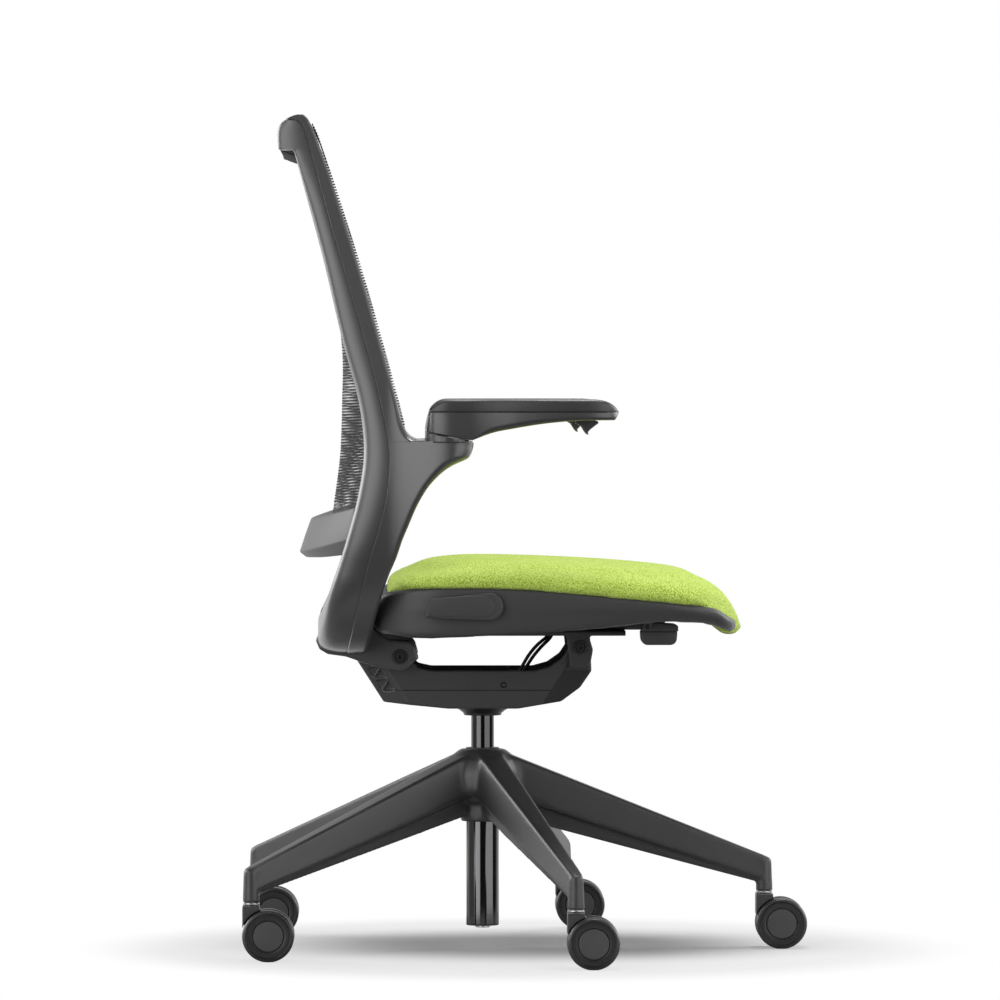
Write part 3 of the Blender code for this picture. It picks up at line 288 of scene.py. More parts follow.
def lime_cloth():
    """Nubbly lime cloth: strewn plump knots, with painted shade darkening the hollows between them.
    """
    f = finish("lime_cloth")
    place = f.place()
    drift = f.node("ShaderNodeTexNoise", {}, {"Vector": place, "Scale": 130.0}, "Color")
    shift = {"operation": "MULTIPLY_ADD"}
    moved = f.node("ShaderNodeVectorMath", shift, {0: drift, 1: (0.0016,) * 3, 2: place})
    sockets = {"Vector": moved, "Scale": 520.0, "Randomness": 0.9}
    knot = f.node("ShaderNodeTexVoronoi", {}, sockets)
    fibre = f.noise(place, 1600.0)
    lift = 1.0 - knot * 1.1 + fibre * 0.35 - 0.15
    cloud = f.noise(place, 14.0)
    yarn = f.blend(cloud, (0.52, 0.68, 0.12, 1), (0.62, 0.78, 0.18, 1))
    # Painted shade: the colour falls to a dark deep green where the knots' height is low.
    f.set(Base_Color=f.blend(lift.between(0.12, 0.72), (0.30, 0.42, 0.04, 1), yarn))
    f.set(Roughness=0.95 - fibre * 0.1)
    f.set(Sheen_Weight=0.12, Sheen_Roughness=0.5, Specular_IOR_Level=0.12)
    f.bump(lift, 0.9 * MM)
    return f.owner


def mesh_net():
    """Fine upright threads between the cords of the back, see-through between."""
    f = finish("mesh_net")
    across, up, _ = f.axes(f.place("UV"))
    thread = (across * (2 * math.pi * 210)).sine()
    lace = (up * (2 * math.pi * 105) + thread * 0.6).sine()
    fibre = f.noise(f.place(), 900.0)
    f.set(Base_Color=f.blend(fibre, grey(0.012), grey(0.03)))
    f.set(Roughness=0.75 + fibre * 0.15, Alpha=(thread > 0.2).most(lace > 0.6))
    return f.owner


def mesh_cord():
    """Twisted black cord."""
    f = finish("mesh_cord")
    fibre = f.noise(f.place(), 1200.0)
    f.set(Base_Color=f.blend(fibre, grey(0.006), grey(0.02)))
    f.set(Roughness=0.7 + fibre * 0.2, Specular_IOR_Level=0.2)
    f.bump(fibre, 0.1 * MM)
    return f.owner


PLASTIC = moulded("control_plastic", 0.036, 0.46, 0.03)
TUB_PLASTIC = moulded("tub_plastic", 0.042, 0.42, 0.03, tub_joints_and_painted_shade)
BASE_PLASTIC = moulded("base_plastic", 0.026, 0.42, 0.08, None, 0.7)
FRAME_PLASTIC = moulded("frame_plastic", 0.042, 0.38, 0.02, None, 0.7, 0.7)
BAR_PLASTIC = moulded("bar_plastic", 0.036, 0.46, 0.02)
# Painted shade for the downward faces of the top rail.
RAIL_PAINTED_SHADE = moulded("rail_painted_shade", 0.012, 0.7, 0.02, None, 0.15)
ARM_PLASTIC = moulded("arm_plastic", 0.036, 0.36, 0.02, None, 0.7, 0.3)
SEAT_PLASTIC = moulded("seat_plastic", 0.046, 0.46, 0.03)
PAD_SKIN = moulded("pad_skin", 0.026, 0.42, 0.03, None, 0.7)
ROD_STEEL = black_chrome("rod_steel", 0.075, 0.09)
TUBE_STEEL = black_chrome("tube_steel", 0.10, 0.07)
DARK_STEEL = moulded("dark_steel", 0.020, 0.38, 0.02)
BRIGHT_STEEL = plated("bright_steel", 0.75, 0.28)
NYLON = wheel_nylon("wheel_nylon", 0.018, 0.26)
TREAD = wheel_nylon("wheel_tread", 0.020, 0.34)
CAP = wheel_nylon("wheel_cap", 0.050, 0.42)
CABLE_SKIN = moulded("cable_skin", 0.010, 0.28, 0.01)
CLOTH = lime_cloth()
NET = mesh_net()
CORD = mesh_cord()


# Ways of making pieces


def focus(*pieces):
    bpy.ops.object.select_all(action="DESELECT")
    for piece in pieces:
        piece.hide_viewport = False
        piece.select_set(True)
    bpy.context.view_layer.objects.active = pieces[0]


def edit(piece):
    """Opens a piece for editing with everything in it selected."""
    focus(piece)
    bpy.ops.object.mode_set(mode="EDIT")
    bpy.ops.mesh.select_all(action="SELECT")


def close_edit():
    bpy.ops.object.mode_set(mode="OBJECT")


def close_outward():
    """Leaves editing with all faces turned out."""
    bpy.ops.mesh.select_all(action="SELECT")
    bpy.ops.mesh.normals_make_consistent(inside=False)
    close_edit()


def step(piece, kind, **settings):
    """Adds a modifier."""
    added = piece.modifiers.new(kind.lower(), kind)
    for key, value in settings.items():
        setattr(added, key, value)
    return added


def apply_all(piece):
    focus(piece)
    for added in list(piece.modifiers):
        bpy.ops.object.modifier_apply(modifier=added.name)


def even(piece, grain):
    step(piece, "REMESH", mode="VOXEL", voxel_size=grain * MM)


def melt(piece, passes, group=""):
    step(piece, "SMOOTH", factor=0.5, iterations=passes, vertex_group=group)


def paint(piece, material):
    piece.data.materials.clear()
    piece.data.materials.append(material)


def sleek(piece, material):
    """Smooth shading and a finish."""
    focus(piece)
    bpy.ops.object.shade_smooth()
    paint(piece, material)
    return piece


def crisp(piece, material, angle=32):
    """Smooth shading that keeps the sharper edges."""
    focus(piece)
    bpy.ops.object.shade_smooth_by_angle(angle=math.radians(angle))
    paint(piece, material)
    return piece


def settle(piece, body, slot, *nodes):
    """Puts a finished piece on its body, in place of the solids that it stands for."""
    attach(piece, body)
    if nodes:
        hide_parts(*nodes)
    return piece


def stands_for(piece, node):
    return settle(piece, body_of(node), slot_of(node), node)


def body_of(node):
    return frame["nodes"][node]["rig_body"]


def slot_of(node):
    for row in frame["record"]["subparts"]:
        if row["node"] == node:
            return row["material_slot"]
    return None


def merged_copy(node, name):
    """A copy of a solid with its loose triangles joined."""
    focus(frame["nodes"][node])
    bpy.ops.object.duplicate()
    piece = bpy.context.active_object
    piece.parent = None
    piece.name = name
    for key in list(piece.keys()):
        del piece[key]
    edit(piece)
    bpy.ops.mesh.remove_doubles(threshold=1e-6)
    close_edit()
    return piece


def rounded(node, grain, passes, material, share=1.0):
    """A solid's moulded surface, with soft edges."""
    piece = merged_copy(node, f"{node}_skin")
    even(piece, grain)
    melt(piece, passes)
    if share < 1:
        step(piece, "DECIMATE", ratio=share)
    apply_all(piece)
    return stands_for(sleek(piece, material), node)


def turned(name, profile, material, facets=72):
    """Lathe work about Z: each ring of (radius, height) in mm is pulled from the last."""
    bpy.ops.object.select_all(action="DESELECT")
    radius, height = profile[0]
    bpy.ops.mesh.primitive_circle_add(vertices=facets, radius=radius * MM, fill_type="NGON")
    piece = bpy.context.active_object
    piece.name = name
    edit(piece)
    bpy.ops.transform.translate(value=(0, 0, height * MM))
    for wide, high in profile[1:]:
        bpy.ops.mesh.extrude_region()
        share = wide / radius
        middle = (0, 0, height * MM)
        bpy.ops.transform.resize(value=(share, share, 1), center_override=middle)
        bpy.ops.transform.translate(value=(0, 0, (high - height) * MM))
        radius, height = wide, high
    close_outward()
    return crisp(piece, material)


def drawn_through(name, rings):
    """A closed skin pulled from ring to ring, each a list of as many points."""
    bpy.ops.object.select_all(action="DESELECT")
    bpy.ops.mesh.primitive_circle_add(vertices=len(rings[0]), radius=1, fill_type="NGON")
    piece = bpy.context.active_object
    piece.name = name
    edit(piece)
    last = [v.co.copy() for v in bmesh.from_edit_mesh(piece.data).verts]
    for i, ring in enumerate(rings):
        if i:
            bpy.ops.mesh.extrude_region()
        shape = bmesh.from_edit_mesh(piece.data)
        for v in shape.verts:
            if v.select:
                near = min(range(len(last)), key=lambda k: (last[k] - v.co).length_squared)
                v.co = ring[near]
        bmesh.update_edit_mesh(piece.data)
        last = [Vector(point) for point in ring]
    close_outward()
    return piece


def plate(name, outline, y0, y1, rim, material):
    """Side outline in mm pulled from y0 to y1, with its rims rounded."""
    rings = [[spot(x, y, z) for x, z in outline] for y in (y0, y1)]
    piece = drawn_through(name, rings)
    step(piece, "BEVEL", width=rim * MM, segments=3, angle_limit=math.radians(50))
    apply_all(piece)
    return crisp(piece, material, 40)


def swept(name, routes, thick, material, roundness=2):
    """Round wire of a thickness in mm along one or more routes."""
    line = bpy.data.curves.new(name, "CURVE")
    line.dimensions = "3D"
    line.bevel_depth = thick * MM / 2
    line.bevel_resolution = roundness
    line.use_fill_caps = True
    for route in routes:
        spline = line.splines.new("POLY")
        spline.points.add(len(route) - 1)
        for point, place in zip(spline.points, route):
            point.co = (*place, 1)
    piece = bpy.data.objects.new(name, line)
    bpy.context.scene.collection.objects.link(piece)
    focus(piece)
    bpy.ops.object.convert(target="MESH")
    edit(piece)
    bpy.ops.mesh.remove_doubles(threshold=1e-6)
    close_outward()
    return sleek(piece, material)


def put(piece, place):
    """Moves a piece, with its place in its mesh."""
    piece.location = Vector(piece.location) + Vector(place)
    focus(piece)
    bpy.ops.object.transform_apply(location=True, rotation=True, scale=True)
    return piece


def laid(piece, side=1):
    """Turns a piece made about Z so that its top faces along Y."""
    piece.rotation_euler = (math.radians(-90 * side), 0, 0)
    return put(piece, (0, 0, 0))


def copied(piece, name, place=(0, 0, 0)):
    focus(piece)
    bpy.ops.object.duplicate()
    made = bpy.context.active_object
    made.name = name
    return put(made, place)


def arc(x, z, radius, start, end, count):
    """Points on a circle of the side view, in degrees."""
    found = []
    for k in range(count):
        angle = math.radians(start + (end - start) * k / (count - 1))
        found.append((x + radius * math.cos(angle), z + radius * math.sin(angle)))
    return found


# Base


HUB_REACH, LEG_RUN = 14.4, 334.3
LEG_TOP, LEG_TOP_FALL = 238, 127
LEG_CREASE, LEG_CREASE_FALL = 193, 110
LEG_RAISE = 6.5


def star_base():
    """Five legs that run up to the hub's top, with deep fillets between them."""
    base = merged_copy("star_base", "star_base_skin")
    profile = [(24, 190), (44, 190), (47, 193), (47, 212), (40, 226), (24, 235)]
    core = turned("hub_core", profile, BASE_PLASTIC)
    put(core, (COLUMN_X, 0, 0))
    focus(base, core)
    bpy.ops.object.join()
    even(base, 1.8)
    apply_all(base)
    crotch = base.vertex_groups.new(name="crotch")
    walls = [abs(v.normal.z) < 0.6 for v in base.data.vertices]
    for v, wall in zip(base.data.vertices, walls):
        reach = math.hypot(v.co.x - COLUMN_X, v.co.y) / MM
        out = min(max((reach - HUB_REACH) / LEG_RUN, 0), 1)
        top = LEG_TOP - LEG_TOP_FALL * out
        crease = LEG_CREASE - LEG_CREASE_FALL * out
        upper = min(max((v.co.z / MM - crease) / (top - crease), 0), 1)
        v.co.z += LEG_RAISE * MM * (1 - out) * upper * eased(24, 34, reach)
        near = eased(25, 33, reach) * (1 - eased(66, 100, reach))
        crotch.add([v.index], near * (1 if wall else 0.2), "REPLACE")
    melt(base, 45, "crotch")
    melt(base, 5)
    step(base, "DECIMATE", ratio=0.5)
    apply_all(base)
    stands_for(sleek(base, BASE_PLASTIC), "star_base")


def column():
    """Tubes of the lift, turned with small rolled edges."""
    rows = [
        ("outer_tube", TUBE_STEEL, [
            (19.0, 28), (19.7, 28.3), (20, 29), (20, 30), (20, 155), (21.1, 240), (21.1, 241),
            (20.6, 241.5),
        ]),
        ("guide_bush", PLASTIC, [
            (17.5, 170), (17.8, 241), (20.2, 241.9), (20.5, 242.4), (20.5, 244.4),
            (19.9, 245), (14.6, 245),
        ]),
        ("piston_rod", BRIGHT_STEEL, [
            (8.4, 25.2), (9.0, 25.8), (9.0, 27.2), (8.6, 27.7), (5, 27.7), (5, 257), (8.7, 257),
            (8.7, 269), (8.2, 269.5),
        ]),
        ("thrust_bearing", BRIGHT_STEEL, [
            (5.5, 32.4), (14.8, 32.4), (15.2, 32.8), (15.2, 37.6), (14.8, 38), (5.5, 38),
        ]),
        ("gas_cylinder", ROD_STEEL, [
            (13.6, 105), (14, 105.6), (14, 107), (14, 322.5), (14, 324), (12.5, 328), (4.4, 328),
        ]),
        ("valve_button", BRIGHT_STEEL, [(3.6, 319), (4, 319.4), (4, 332.4), (3.4, 333)]),
        ("column_socket", DARK_STEEL, [
            (14.4, 284.4), (22.2, 284.4), (23.0, 285.2), (23.4, 287.0), (28.0, 290.6),
            (33.5, 293.8), (34, 294.9), (33.6, 295.2), (21.6, 295.3), (21.5, 315), (20.5, 321),
            (14.4, 321.4),
        ]),
    ]
    for node, material, profile in rows:
        piece = turned(f"{node}_skin", profile, material)
        stands_for(put(piece, (COLUMN_X, 0, 0)), node)


def casters():
    """Twin wheels with a capped hub, and the bright stems."""
    wheel = turned("wheel_pattern", [
        (4.5, 8.2), (29.0, 8.2), (30.4, 8.8), (31.0, 10.2), (31.0, 20.2), (30.5, 22.6),
        (29.2, 24.3), (27.4, 24.8), (26.9, 23.7), (26.2, 23.5), (25.6, 24.2), (20.3, 24.5),
        (19.5, 24.2), (19.2, 22.6), (18.4, 22.6), (17.9, 24.3), (17.2, 24.8), (9.0, 25.1),
    ], NYLON)
    wheel.data.materials.append(TREAD)
    wheel.data.materials.append(CAP)
    for face in wheel.data.polygons:
        out = math.hypot(face.center.x, face.center.y)
        if out > 27.2 * MM and face.center.z < 24.7 * MM:
            face.material_index = 1
        elif out < 17.8 * MM and face.center.z > 24 * MM:
            face.material_index = 2
    stem = turned("stem_pattern", [
        (4.0, 51), (4.2, 52), (4.2, 66.5), (8.6, 66.6), (8.9, 67.2), (9.9, 67.4), (10.1, 68.0),
        (10.1, 69.2), (9.6, 69.5), (5.5, 69.6), (5.5, 97), (4.5, 98.2),
    ], BRIGHT_STEEL, 48)
    for k in range(5):
        angle = math.radians(72 * k)
        x = CASTER_RADIUS * MM * math.cos(angle) + COLUMN_X
        y = CASTER_RADIUS * MM * math.sin(angle)
        label = f"caster_{k + 1}"
        rounded(f"{label}_hood", 0.8, 3, BASE_PLASTIC, 0.7)
        stands_for(copied(stem, f"{label}_stem_skin", (x, y, 0)), f"{label}_stem")
        for side, word in SIDES:
            made = laid(copied(wheel, f"{label}_wheel_{word}_skin"), side)
            put(made, (x + CASTER_TRAIL * MM, y, WHEEL_LEVEL * MM))
            stands_for(made, f"{label}_wheel_{word}")
    for pattern in (wheel, stem):
        bpy.data.objects.remove(pattern, do_unlink=True)


# Control


REAR_PIVOT, FRONT_PIVOT = (-100.6, 63.8), (117.2, 74.7)
COIL = 9.1


def pivot_pin(node, x, z, head, wide):
    """Cross pin with a ringed cap at each end."""
    half = [
        (1.6, head - 0.5), (2.0, head + 1.8), (2.8, head + 2.6), (wide - 3.9, head + 2.6),
        (wide - 3.5, head + 0.8), (wide - 2.7, head + 0.8), (wide - 2.3, head + 2.5),
        (wide - 0.8, head + 2.4), (wide, head + 1.6), (wide, head), (6, head),
    ]
    profile = half + [(r, -h) for r, h in reversed(half)]
    piece = laid(turned(f"{node}_skin", profile, DARK_STEEL, 48))
    stands_for(put(piece, spot(x, 0, z)), node)


def control():
    """Tub, pins, spring, rocker and the two cables."""
    rounded("control_tub", 1.3, 6, TUB_PLASTIC, 0.5)
    rounded("lift_rocker", 0.7, 2, DARK_STEEL)
    pivot_pin("rear_pivot_pin", *REAR_PIVOT, 107.7, 9.0)
    pivot_pin("front_pivot_pin", *FRONT_PIVOT, 93.6, 8.6)
    coil = []
    for k in range(6 * 16 + 1):
        angle, run = 2 * math.pi * k / 16, (k / 16 - 3) * 8
        coil.append((COIL * math.cos(angle), run, COIL * math.sin(angle)))
    coil = [(COIL, -24, -10.4)] + coil + [(COIL, 24, 10.4)]
    route = [spot(x + REAR_PIVOT[0], y, z + REAR_PIVOT[1]) for x, y, z in coil]
    stands_for(swept("tilt_spring_skin", [route], 5.2, BRIGHT_STEEL), "tilt_spring")
    cable("lift_cable", -26, [
        (32, 6.6), (34, 20), (40, 34), (47, 47.5), (56, 63), (66, 75), (76, 83.5), (80, 88),
    ])
    cable("tilt_cable", 26, [
        (38, 6.6), (40, 18), (46, 32), (53, 45), (62, 59), (72, 71), (82, 81), (86, 88),
    ])
    screw = turned("tub_screw", [
        (1.0, -3.0), (1.7, 0.4), (2.6, 0.6), (3.6, 0.5), (3.9, 0.0), (3.9, -3.0),
    ], CABLE_SKIN, 32)
    for side, word in SIDES:
        made = put(laid(copied(screw, f"tub_screw_{word}"), side), spot(24.5, side * 85, 29))
        settle(made, body_of("control_tub"), slot_of("control_tub"))
    bpy.data.objects.remove(screw, do_unlink=True)


def cable(node, side, points):
    """Control cable from the tub's floor to the seat carriage."""
    route = []
    for k in range(41):
        at = (len(points) - 1) * k / 40
        x = along([(i, point[0]) for i, point in enumerate(points)], at)
        z = along([(i, point[1]) for i, point in enumerate(points)], at)
        route.append(spot(x, side, z))
    piece = swept(f"{node}_skin", [route], 4.2, CABLE_SKIN)
    ends = spot(points[0][0], side, 20), spot(points[-1][0], side, 84)
    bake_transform(piece)
    slot_of(node)
    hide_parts(node)


# Seat


SHELL_HALF = [
    (-122, 150), (-118, 176), (-108, 201), (-88, 223), (-60, 234), (-20, 236), (200, 236),
    (250, 228), (280, 208), (294, 184), (299, 160),
]
SHELL_X = [-122, -117, -108, -88, -60, 0, 90, 160, 210, 250, 280, 294, 299]
SHELL_RIM = [
    (-122, 139), (-98, 147.5), (-50, 151.5), (44, 150), (139, 141.5), (234, 132), (299, 121),
]
CUSHION_TOP = [
    (-121, 157), (-100, 169), (-50, 177.5), (0, 179.5), (92, 177), (186, 171), (257, 162),
    (280, 154), (295, 142), (303, 131), (308, 122), (311.5, 114), (313, 110),
]
CUSHION_HALF = [
    (-121, 158), (-116, 184), (-104, 209), (-84, 230), (-55, 242), (-10, 244), (195, 244),
    (240, 236), (262, 222), (276, 204), (288, 184), (299, 162), (307, 138), (313, 112),
]
CUSHION_WRAP = [
    (-121, 0), (258, 0), (268, -4), (276, -22), (284, -27), (298, -28), (306, -25), (313, -17),
]
RESTING, DRAWN_IN, PULL_LIMIT, CLOTH_STEPS = -0.3, 2 * MM, 4 * MM, 12
REAR_DRAW, SKIRT_DROP, NOSE_DROP, NOSE_REACH = 7, 3, 11, 3


def cushion_ring(x):
    """Cross-section: crowned top, rounded shoulders, sides drawn in at the seam."""
    half, high = along(CUSHION_HALF, x), along(CUSHION_TOP, x)
    low = min(along(SHELL_RIM, x) - 3 + along(CUSHION_WRAP, x), high - 8)
    body = high - low
    side = [
        (half * 0.2, 0), (half * 0.42, 0.01), (half * 0.6, 0.04), (half * 0.76, 0.09),
        (half - 26, 0.15), (half - 13, 0.25), (half - 5, 0.4), (half - 1, 0.55), (half, 0.7),
        (half - 0.8, 0.84), (half - 2.5, 0.94), (half - 6, 1), (half * 0.8, 1), (half * 0.4, 1),
    ]
    right = [spot(x, -y, high - body * drop) for y, drop in side]
    left = [spot(x, y, high - body * drop) for y, drop in reversed(side)]
    return [spot(x, 0, high)] + right + [spot(x, 0, low)] + left


def cushion():
    """Seat pad: drawn in a little, then blown up as cloth over the shell."""
    places = [-121, -118.5, -115, -109, -102, -92, -80, -66, -50] + list(range(-30, 231, 20))
    places += [245, 258, 270, 280, 288, 295, 301, 306, 310, 312, 313]
    pad = drawn_through("seat_cushion_cover", [cushion_ring(x) for x in places])
    even(pad, 7)
    melt(pad, 3)
    apply_all(pad)
    rest = [(v.co.copy(), v.normal.copy()) for v in pad.data.vertices]
    held = pad.vertex_groups.new(name="held")
    held.add([i for i, (_, out) in enumerate(rest) if out.z < RESTING], 1.0, "REPLACE")
    for v, (at, out) in zip(pad.data.vertices, rest):
        if out.z >= RESTING:
            v.co = at - out * DRAWN_IN
    blow_up(pad)
    for v, (at, _) in zip(pad.data.vertices, rest):
        pull = v.co - at
        if pull.length > PULL_LIMIT:
            v.co = at + pull * (PULL_LIMIT / pull.length)
    step(pad, "SUBSURF", levels=1, render_levels=1)
    apply_all(pad)
    stands_for(sleek(pad, CLOTH), "seat_cushion")


def blow_up(piece):
    """A dozen steps of cloth under pressure, held where it rests."""
    scene = bpy.context.scene
    scene.frame_set(1)
    cloth = step(piece, "CLOTH")
    cloth.settings.quality = 3
    cloth.settings.use_pressure = True
    cloth.settings.uniform_pressure_force = 4.0
    cloth.settings.effector_weights.gravity = 0
    cloth.settings.vertex_group_mass = "held"
    cloth.settings.tension_stiffness = 25
    cloth.settings.compression_stiffness = 25
    cloth.point_cache.frame_start = 1
    cloth.point_cache.frame_end = CLOTH_STEPS
    for at in range(1, CLOTH_STEPS + 1):
        scene.frame_set(at)
    apply_all(piece)
    scene.frame_set(1)


def seat_shell():
    """Shell with its rear drawn out to the uprights and its nose drawn down."""
    shell = merged_copy("seat_shell", "seat_shell_skin")
    even(shell, 2.0)
    apply_all(shell)
    for v in shell.data.vertices:
        x, z = (v.co.x - COLUMN_X) / MM, (v.co.z - TUB_LEVEL) / MM
        low = eased(150, 100, z)
        k = max(i for i in range(len(SHELL_X) - 1) if SHELL_X[i] <= max(x, -122))
        ends = [along(SHELL_HALF, at) for at in SHELL_X[k:k + 2]]
        run = (x - SHELL_X[k]) / (SHELL_X[k + 1] - SHELL_X[k])
        flat = ends[0] + (ends[1] - ends[0]) * run
        fuller = (along(SHELL_HALF, x) - flat) * MM * eased(150, 190, abs(v.co.y) / MM)
        v.co.y += math.copysign(fuller, v.co.y)
        skirt = eased(120, 100, z) * eased(190, 220, abs(v.co.y) / MM) * (1 - eased(150, 215, x))
        nose = eased(272, 300, x)
        v.co.z -= (SKIRT_DROP * skirt + NOSE_DROP * nose) * MM
        v.co.x += (NOSE_REACH * nose - REAR_DRAW * (1 + low) * eased(-70, -118, x)) * MM
    melt(shell, 16)
    step(shell, "DECIMATE", ratio=0.5)
    apply_all(shell)
    stands_for(sleek(shell, SEAT_PLASTIC), "seat_shell")


def seat():
    """Shell, carriage, paddles with a raised grip, and the depth handle."""
    seat_shell()
    rounded("seat_carriage", 1.5, 2, PLASTIC, 0.5)
    outline = arc(0, 128.3, 12.6, 88, -88, 15) + [(-30, 116.2), (-66, 117.4), (-68.5, 119)]
    outline += [(-65.5, 135.5), (-63, 137.2), (-30, 140)]
    for node, side in (("height_paddle", -1), ("tilt_paddle", 1)):
        rounded(node, 0.7, 3, SEAT_PLASTIC)
        y0, y1 = sorted((side * 241, side * 243.6))
        grip = plate(f"{node}_grip", outline, y0, y1, 0.5, SEAT_PLASTIC)
        settle(grip, body_of(node), slot_of(node))
    depth_handle()


def depth_handle():
    """Finger grip under its hinge block."""
    block = [(188, 96.5), (190, 105), (194, 107.4), (228, 105), (232.4, 103), (232.6, 96.5)]
    grip = arc(196, 88, 8, 180, 270, 7) + arc(223, 88, 8, 270, 360, 7)
    grip += [(231.6, 97), (187.4, 97)]
    top = plate("depth_handle_skin", block, -172, -128, 1.2, SEAT_PLASTIC)
    stands_for(top, "depth_handle")
    lower = plate("depth_handle_grip", grip, -171, -129, 2.2, SEAT_PLASTIC)
    settle(lower, body_of("depth_handle"), slot_of("depth_handle"))


# Back


PATH = [
    (192.5, 716), (193, 671), (203, 606), (213, 540), (228, 444), (240, 373), (246, 314),
    (246, 262), (238, 205), (225, 165), (205, 135), (175, 113), (140, 101), (108, 97),
]
BEND = 9
HOOK_EDGE = [
    (714.3, -221), (713.5, -224.5), (711.8, -230), (708.6, -236), (704.5, -241.6), (698.7, -245.4),
    (691, -246.7), (677, -246.2), (673, -245.4), (671.7, -243.8),
]
REAR_EDGE = [
    (671.7, -229), (670, -227), (660, -224), (634, -217), (545, -193), (444, -169), (373, -150),
    (314, -143.5), (262, -150), (205, -165), (178, -173.5), (160, -179.5), (140, -186), (122, -191),
    (97, -199.5),
]
SEAM = [
    (708.2, -230), (707.4, -226.5), (706.4, -223.5), (703, -219.5), (695, -215.4), (671, -208.5),
    (570, -180.5), (450, -145.5), (367, -124), (303, -113.5), (243, -121), (184, -139),
    (122, -157), (97, -165),
]
FRONT_EDGE = [
    (713.8, -215.6), (709.5, -211), (701, -206), (690, -201), (671, -194.5), (616, -176),
    (525, -147.5), (441, -123.5), (373, -105), (362, -102.3), (346, -98), (332, -92), (326.3, -86),
    (323.5, -80), (322.7, -77),
]
POST_EDGE = [
    (322.7, -14.5), (321.5, -13.5), (315, -14.5), (308, -17), (303.5, -21), (295.5, -39),
    (285, -54), (270.5, -68), (251, -80), (225, -91.5), (210, -98), (193, -104), (180, -109.5),
    (160, -118), (122, -131), (97, -139),
]
STRIP_LEVELS = [
    713.6, 712.6, 711, 709.4, 708.4, 708.2, 707.4, 706.4, 704.8, 703, 699, 692, 684, 676,
    *range(668, 372, -8), 368, 362, 356, 350, 344, 338, 333, 329, 326.5, 324.6, 323.4, 322.8,
    322.6, 321.8, 320, 317, 314, 311, 308, 306, 304, 302, 299, 296, 292, 288, 284, 279, 274, 268,
    261, 253, 245, 236, 227, 218, 209, 200, 191, 182, 173,
]
LOBE_LEVELS = [
    708.1, 707.8, 707.1, 706.4, 705, 703, 700, 696, 690, 684, 678, 675, 673, 672.2, 671.8, 671.6,
    670.5, 668, *range(660, 168, -10),
]
CAP_LEVEL, HOOK_LEVEL, HEAD_LEVEL, POST_LEVEL = 708.2, 671.7, 671, 322.7
SEAM_GAP = 0.15
THICKNESS = [
    (716, 24), (671, 24), (545, 26), (444, 28), (373, 32), (314, 36), (262, 36), (205, 34),
    (165, 36), (135, 41), (113, 50), (97, 58),
]
CORNER = [
    (716, 3), (671, 4), (373, 5), (346, 7), (323, 12), (322.7, 24), (311, 24), (303, 21), (290, 14),
    (270, 10), (225, 8), (190, 6), (97, 8),
]
RAIL = [
    (-194, 669), (-201, 689), (-206, 700.5), (-211, 709), (-215.6, 713), (-219, 713.8), (-230, 711),
    (-236, 707.8), (-241.2, 703.9), (-244.8, 698.3), (-246, 691), (-245.5, 677), (-244, 672.5),
    (-238, 669.5), (-228, 666), (-216, 664), (-204, 665),
]
MESH_MIDDLE = [
    (671, -203), (565, -186), (435, -171), (373, -171), (312, -173), (276, -177), (228, -184),
]
MESH_EDGE = [
    (671, -196), (616, -177.5), (525, -149), (441, -125), (373, -106), (330, -103),
    (285, -110), (245, -126), (228, -134),
]
NET_TOP = 670.5
CORD_COUNT, CORD_START, CORD_PITCH, CORD_THICK = 134, 250, 3.4, 1.35


def on_path(at):
    """Place on the upright's middle line, in Y and Z, by station number."""
    rows = [[(i, point[axis]) for i, point in enumerate(PATH)] for axis in (0, 1)]
    return Vector([along(row, at) for row in rows])


def stations(levels):
    """Place and outward direction on the upright's middle line, from the head to the yoke."""
    found = []
    for z in levels:
        y = [along([(level, y) for y, level in PATH[:BEND + 1]], z + up) for up in (2, 0, -2)]
        out = Vector((4, y[2] - y[0])).normalized()
        found.append((y[1], z, out if z < 672 else Vector((1, 0))))
    last = len(PATH) - 1
    for k in range(8 * (last - BEND) + 1):
        at = BEND + k / 8
        run = (on_path(min(at + 0.3, last)) - on_path(max(at - 0.3, 0))).normalized()
        if at == last:
            run = Vector((-1, 0))
        found.append((*on_path(at), Vector((-run.y, run.x))))
    return found


def upright_ring(side, station, points):
    y, z, out = station
    return [spot(x, side * (y + out.x * v), z + out.y * v) for x, v in points]


def strip(side, word):
    """Flat front strip of an upright, with the post for the arm growing out of it."""
    rings = []
    for station in stations(STRIP_LEVELS):
        y, z, _ = station
        back = along(HOOK_EDGE if z > CAP_LEVEL else SEAM, z) + SEAM_GAP
        front = along(FRONT_EDGE if z > POST_LEVEL else POST_EDGE, z)
        half, corner = along(THICKNESS, z) / 2, min(along(CORNER, z), (front - back) * 0.45)
        points = [(back, half - 1.2)]
        points += [(back + 1.1 + (front - corner - back - 1.1) * k / 18, half) for k in range(18)]
        points += arc(front - corner, half - corner, corner, 90, 0, 12)
        outer, inner = [], []
        for x, v in points:
            wide = eased(-118, -38, x) if z > 180 else 0
            middle, more = (ARM_SIDE - y) * wide, (23 - half) * wide
            outer.append((x, middle + v + more))
            inner.append((x, middle - v - more))
        rings.append(upright_ring(side, station, outer + inner[::-1]))
    return drawn_through(f"frame_{word}_skin", rings)


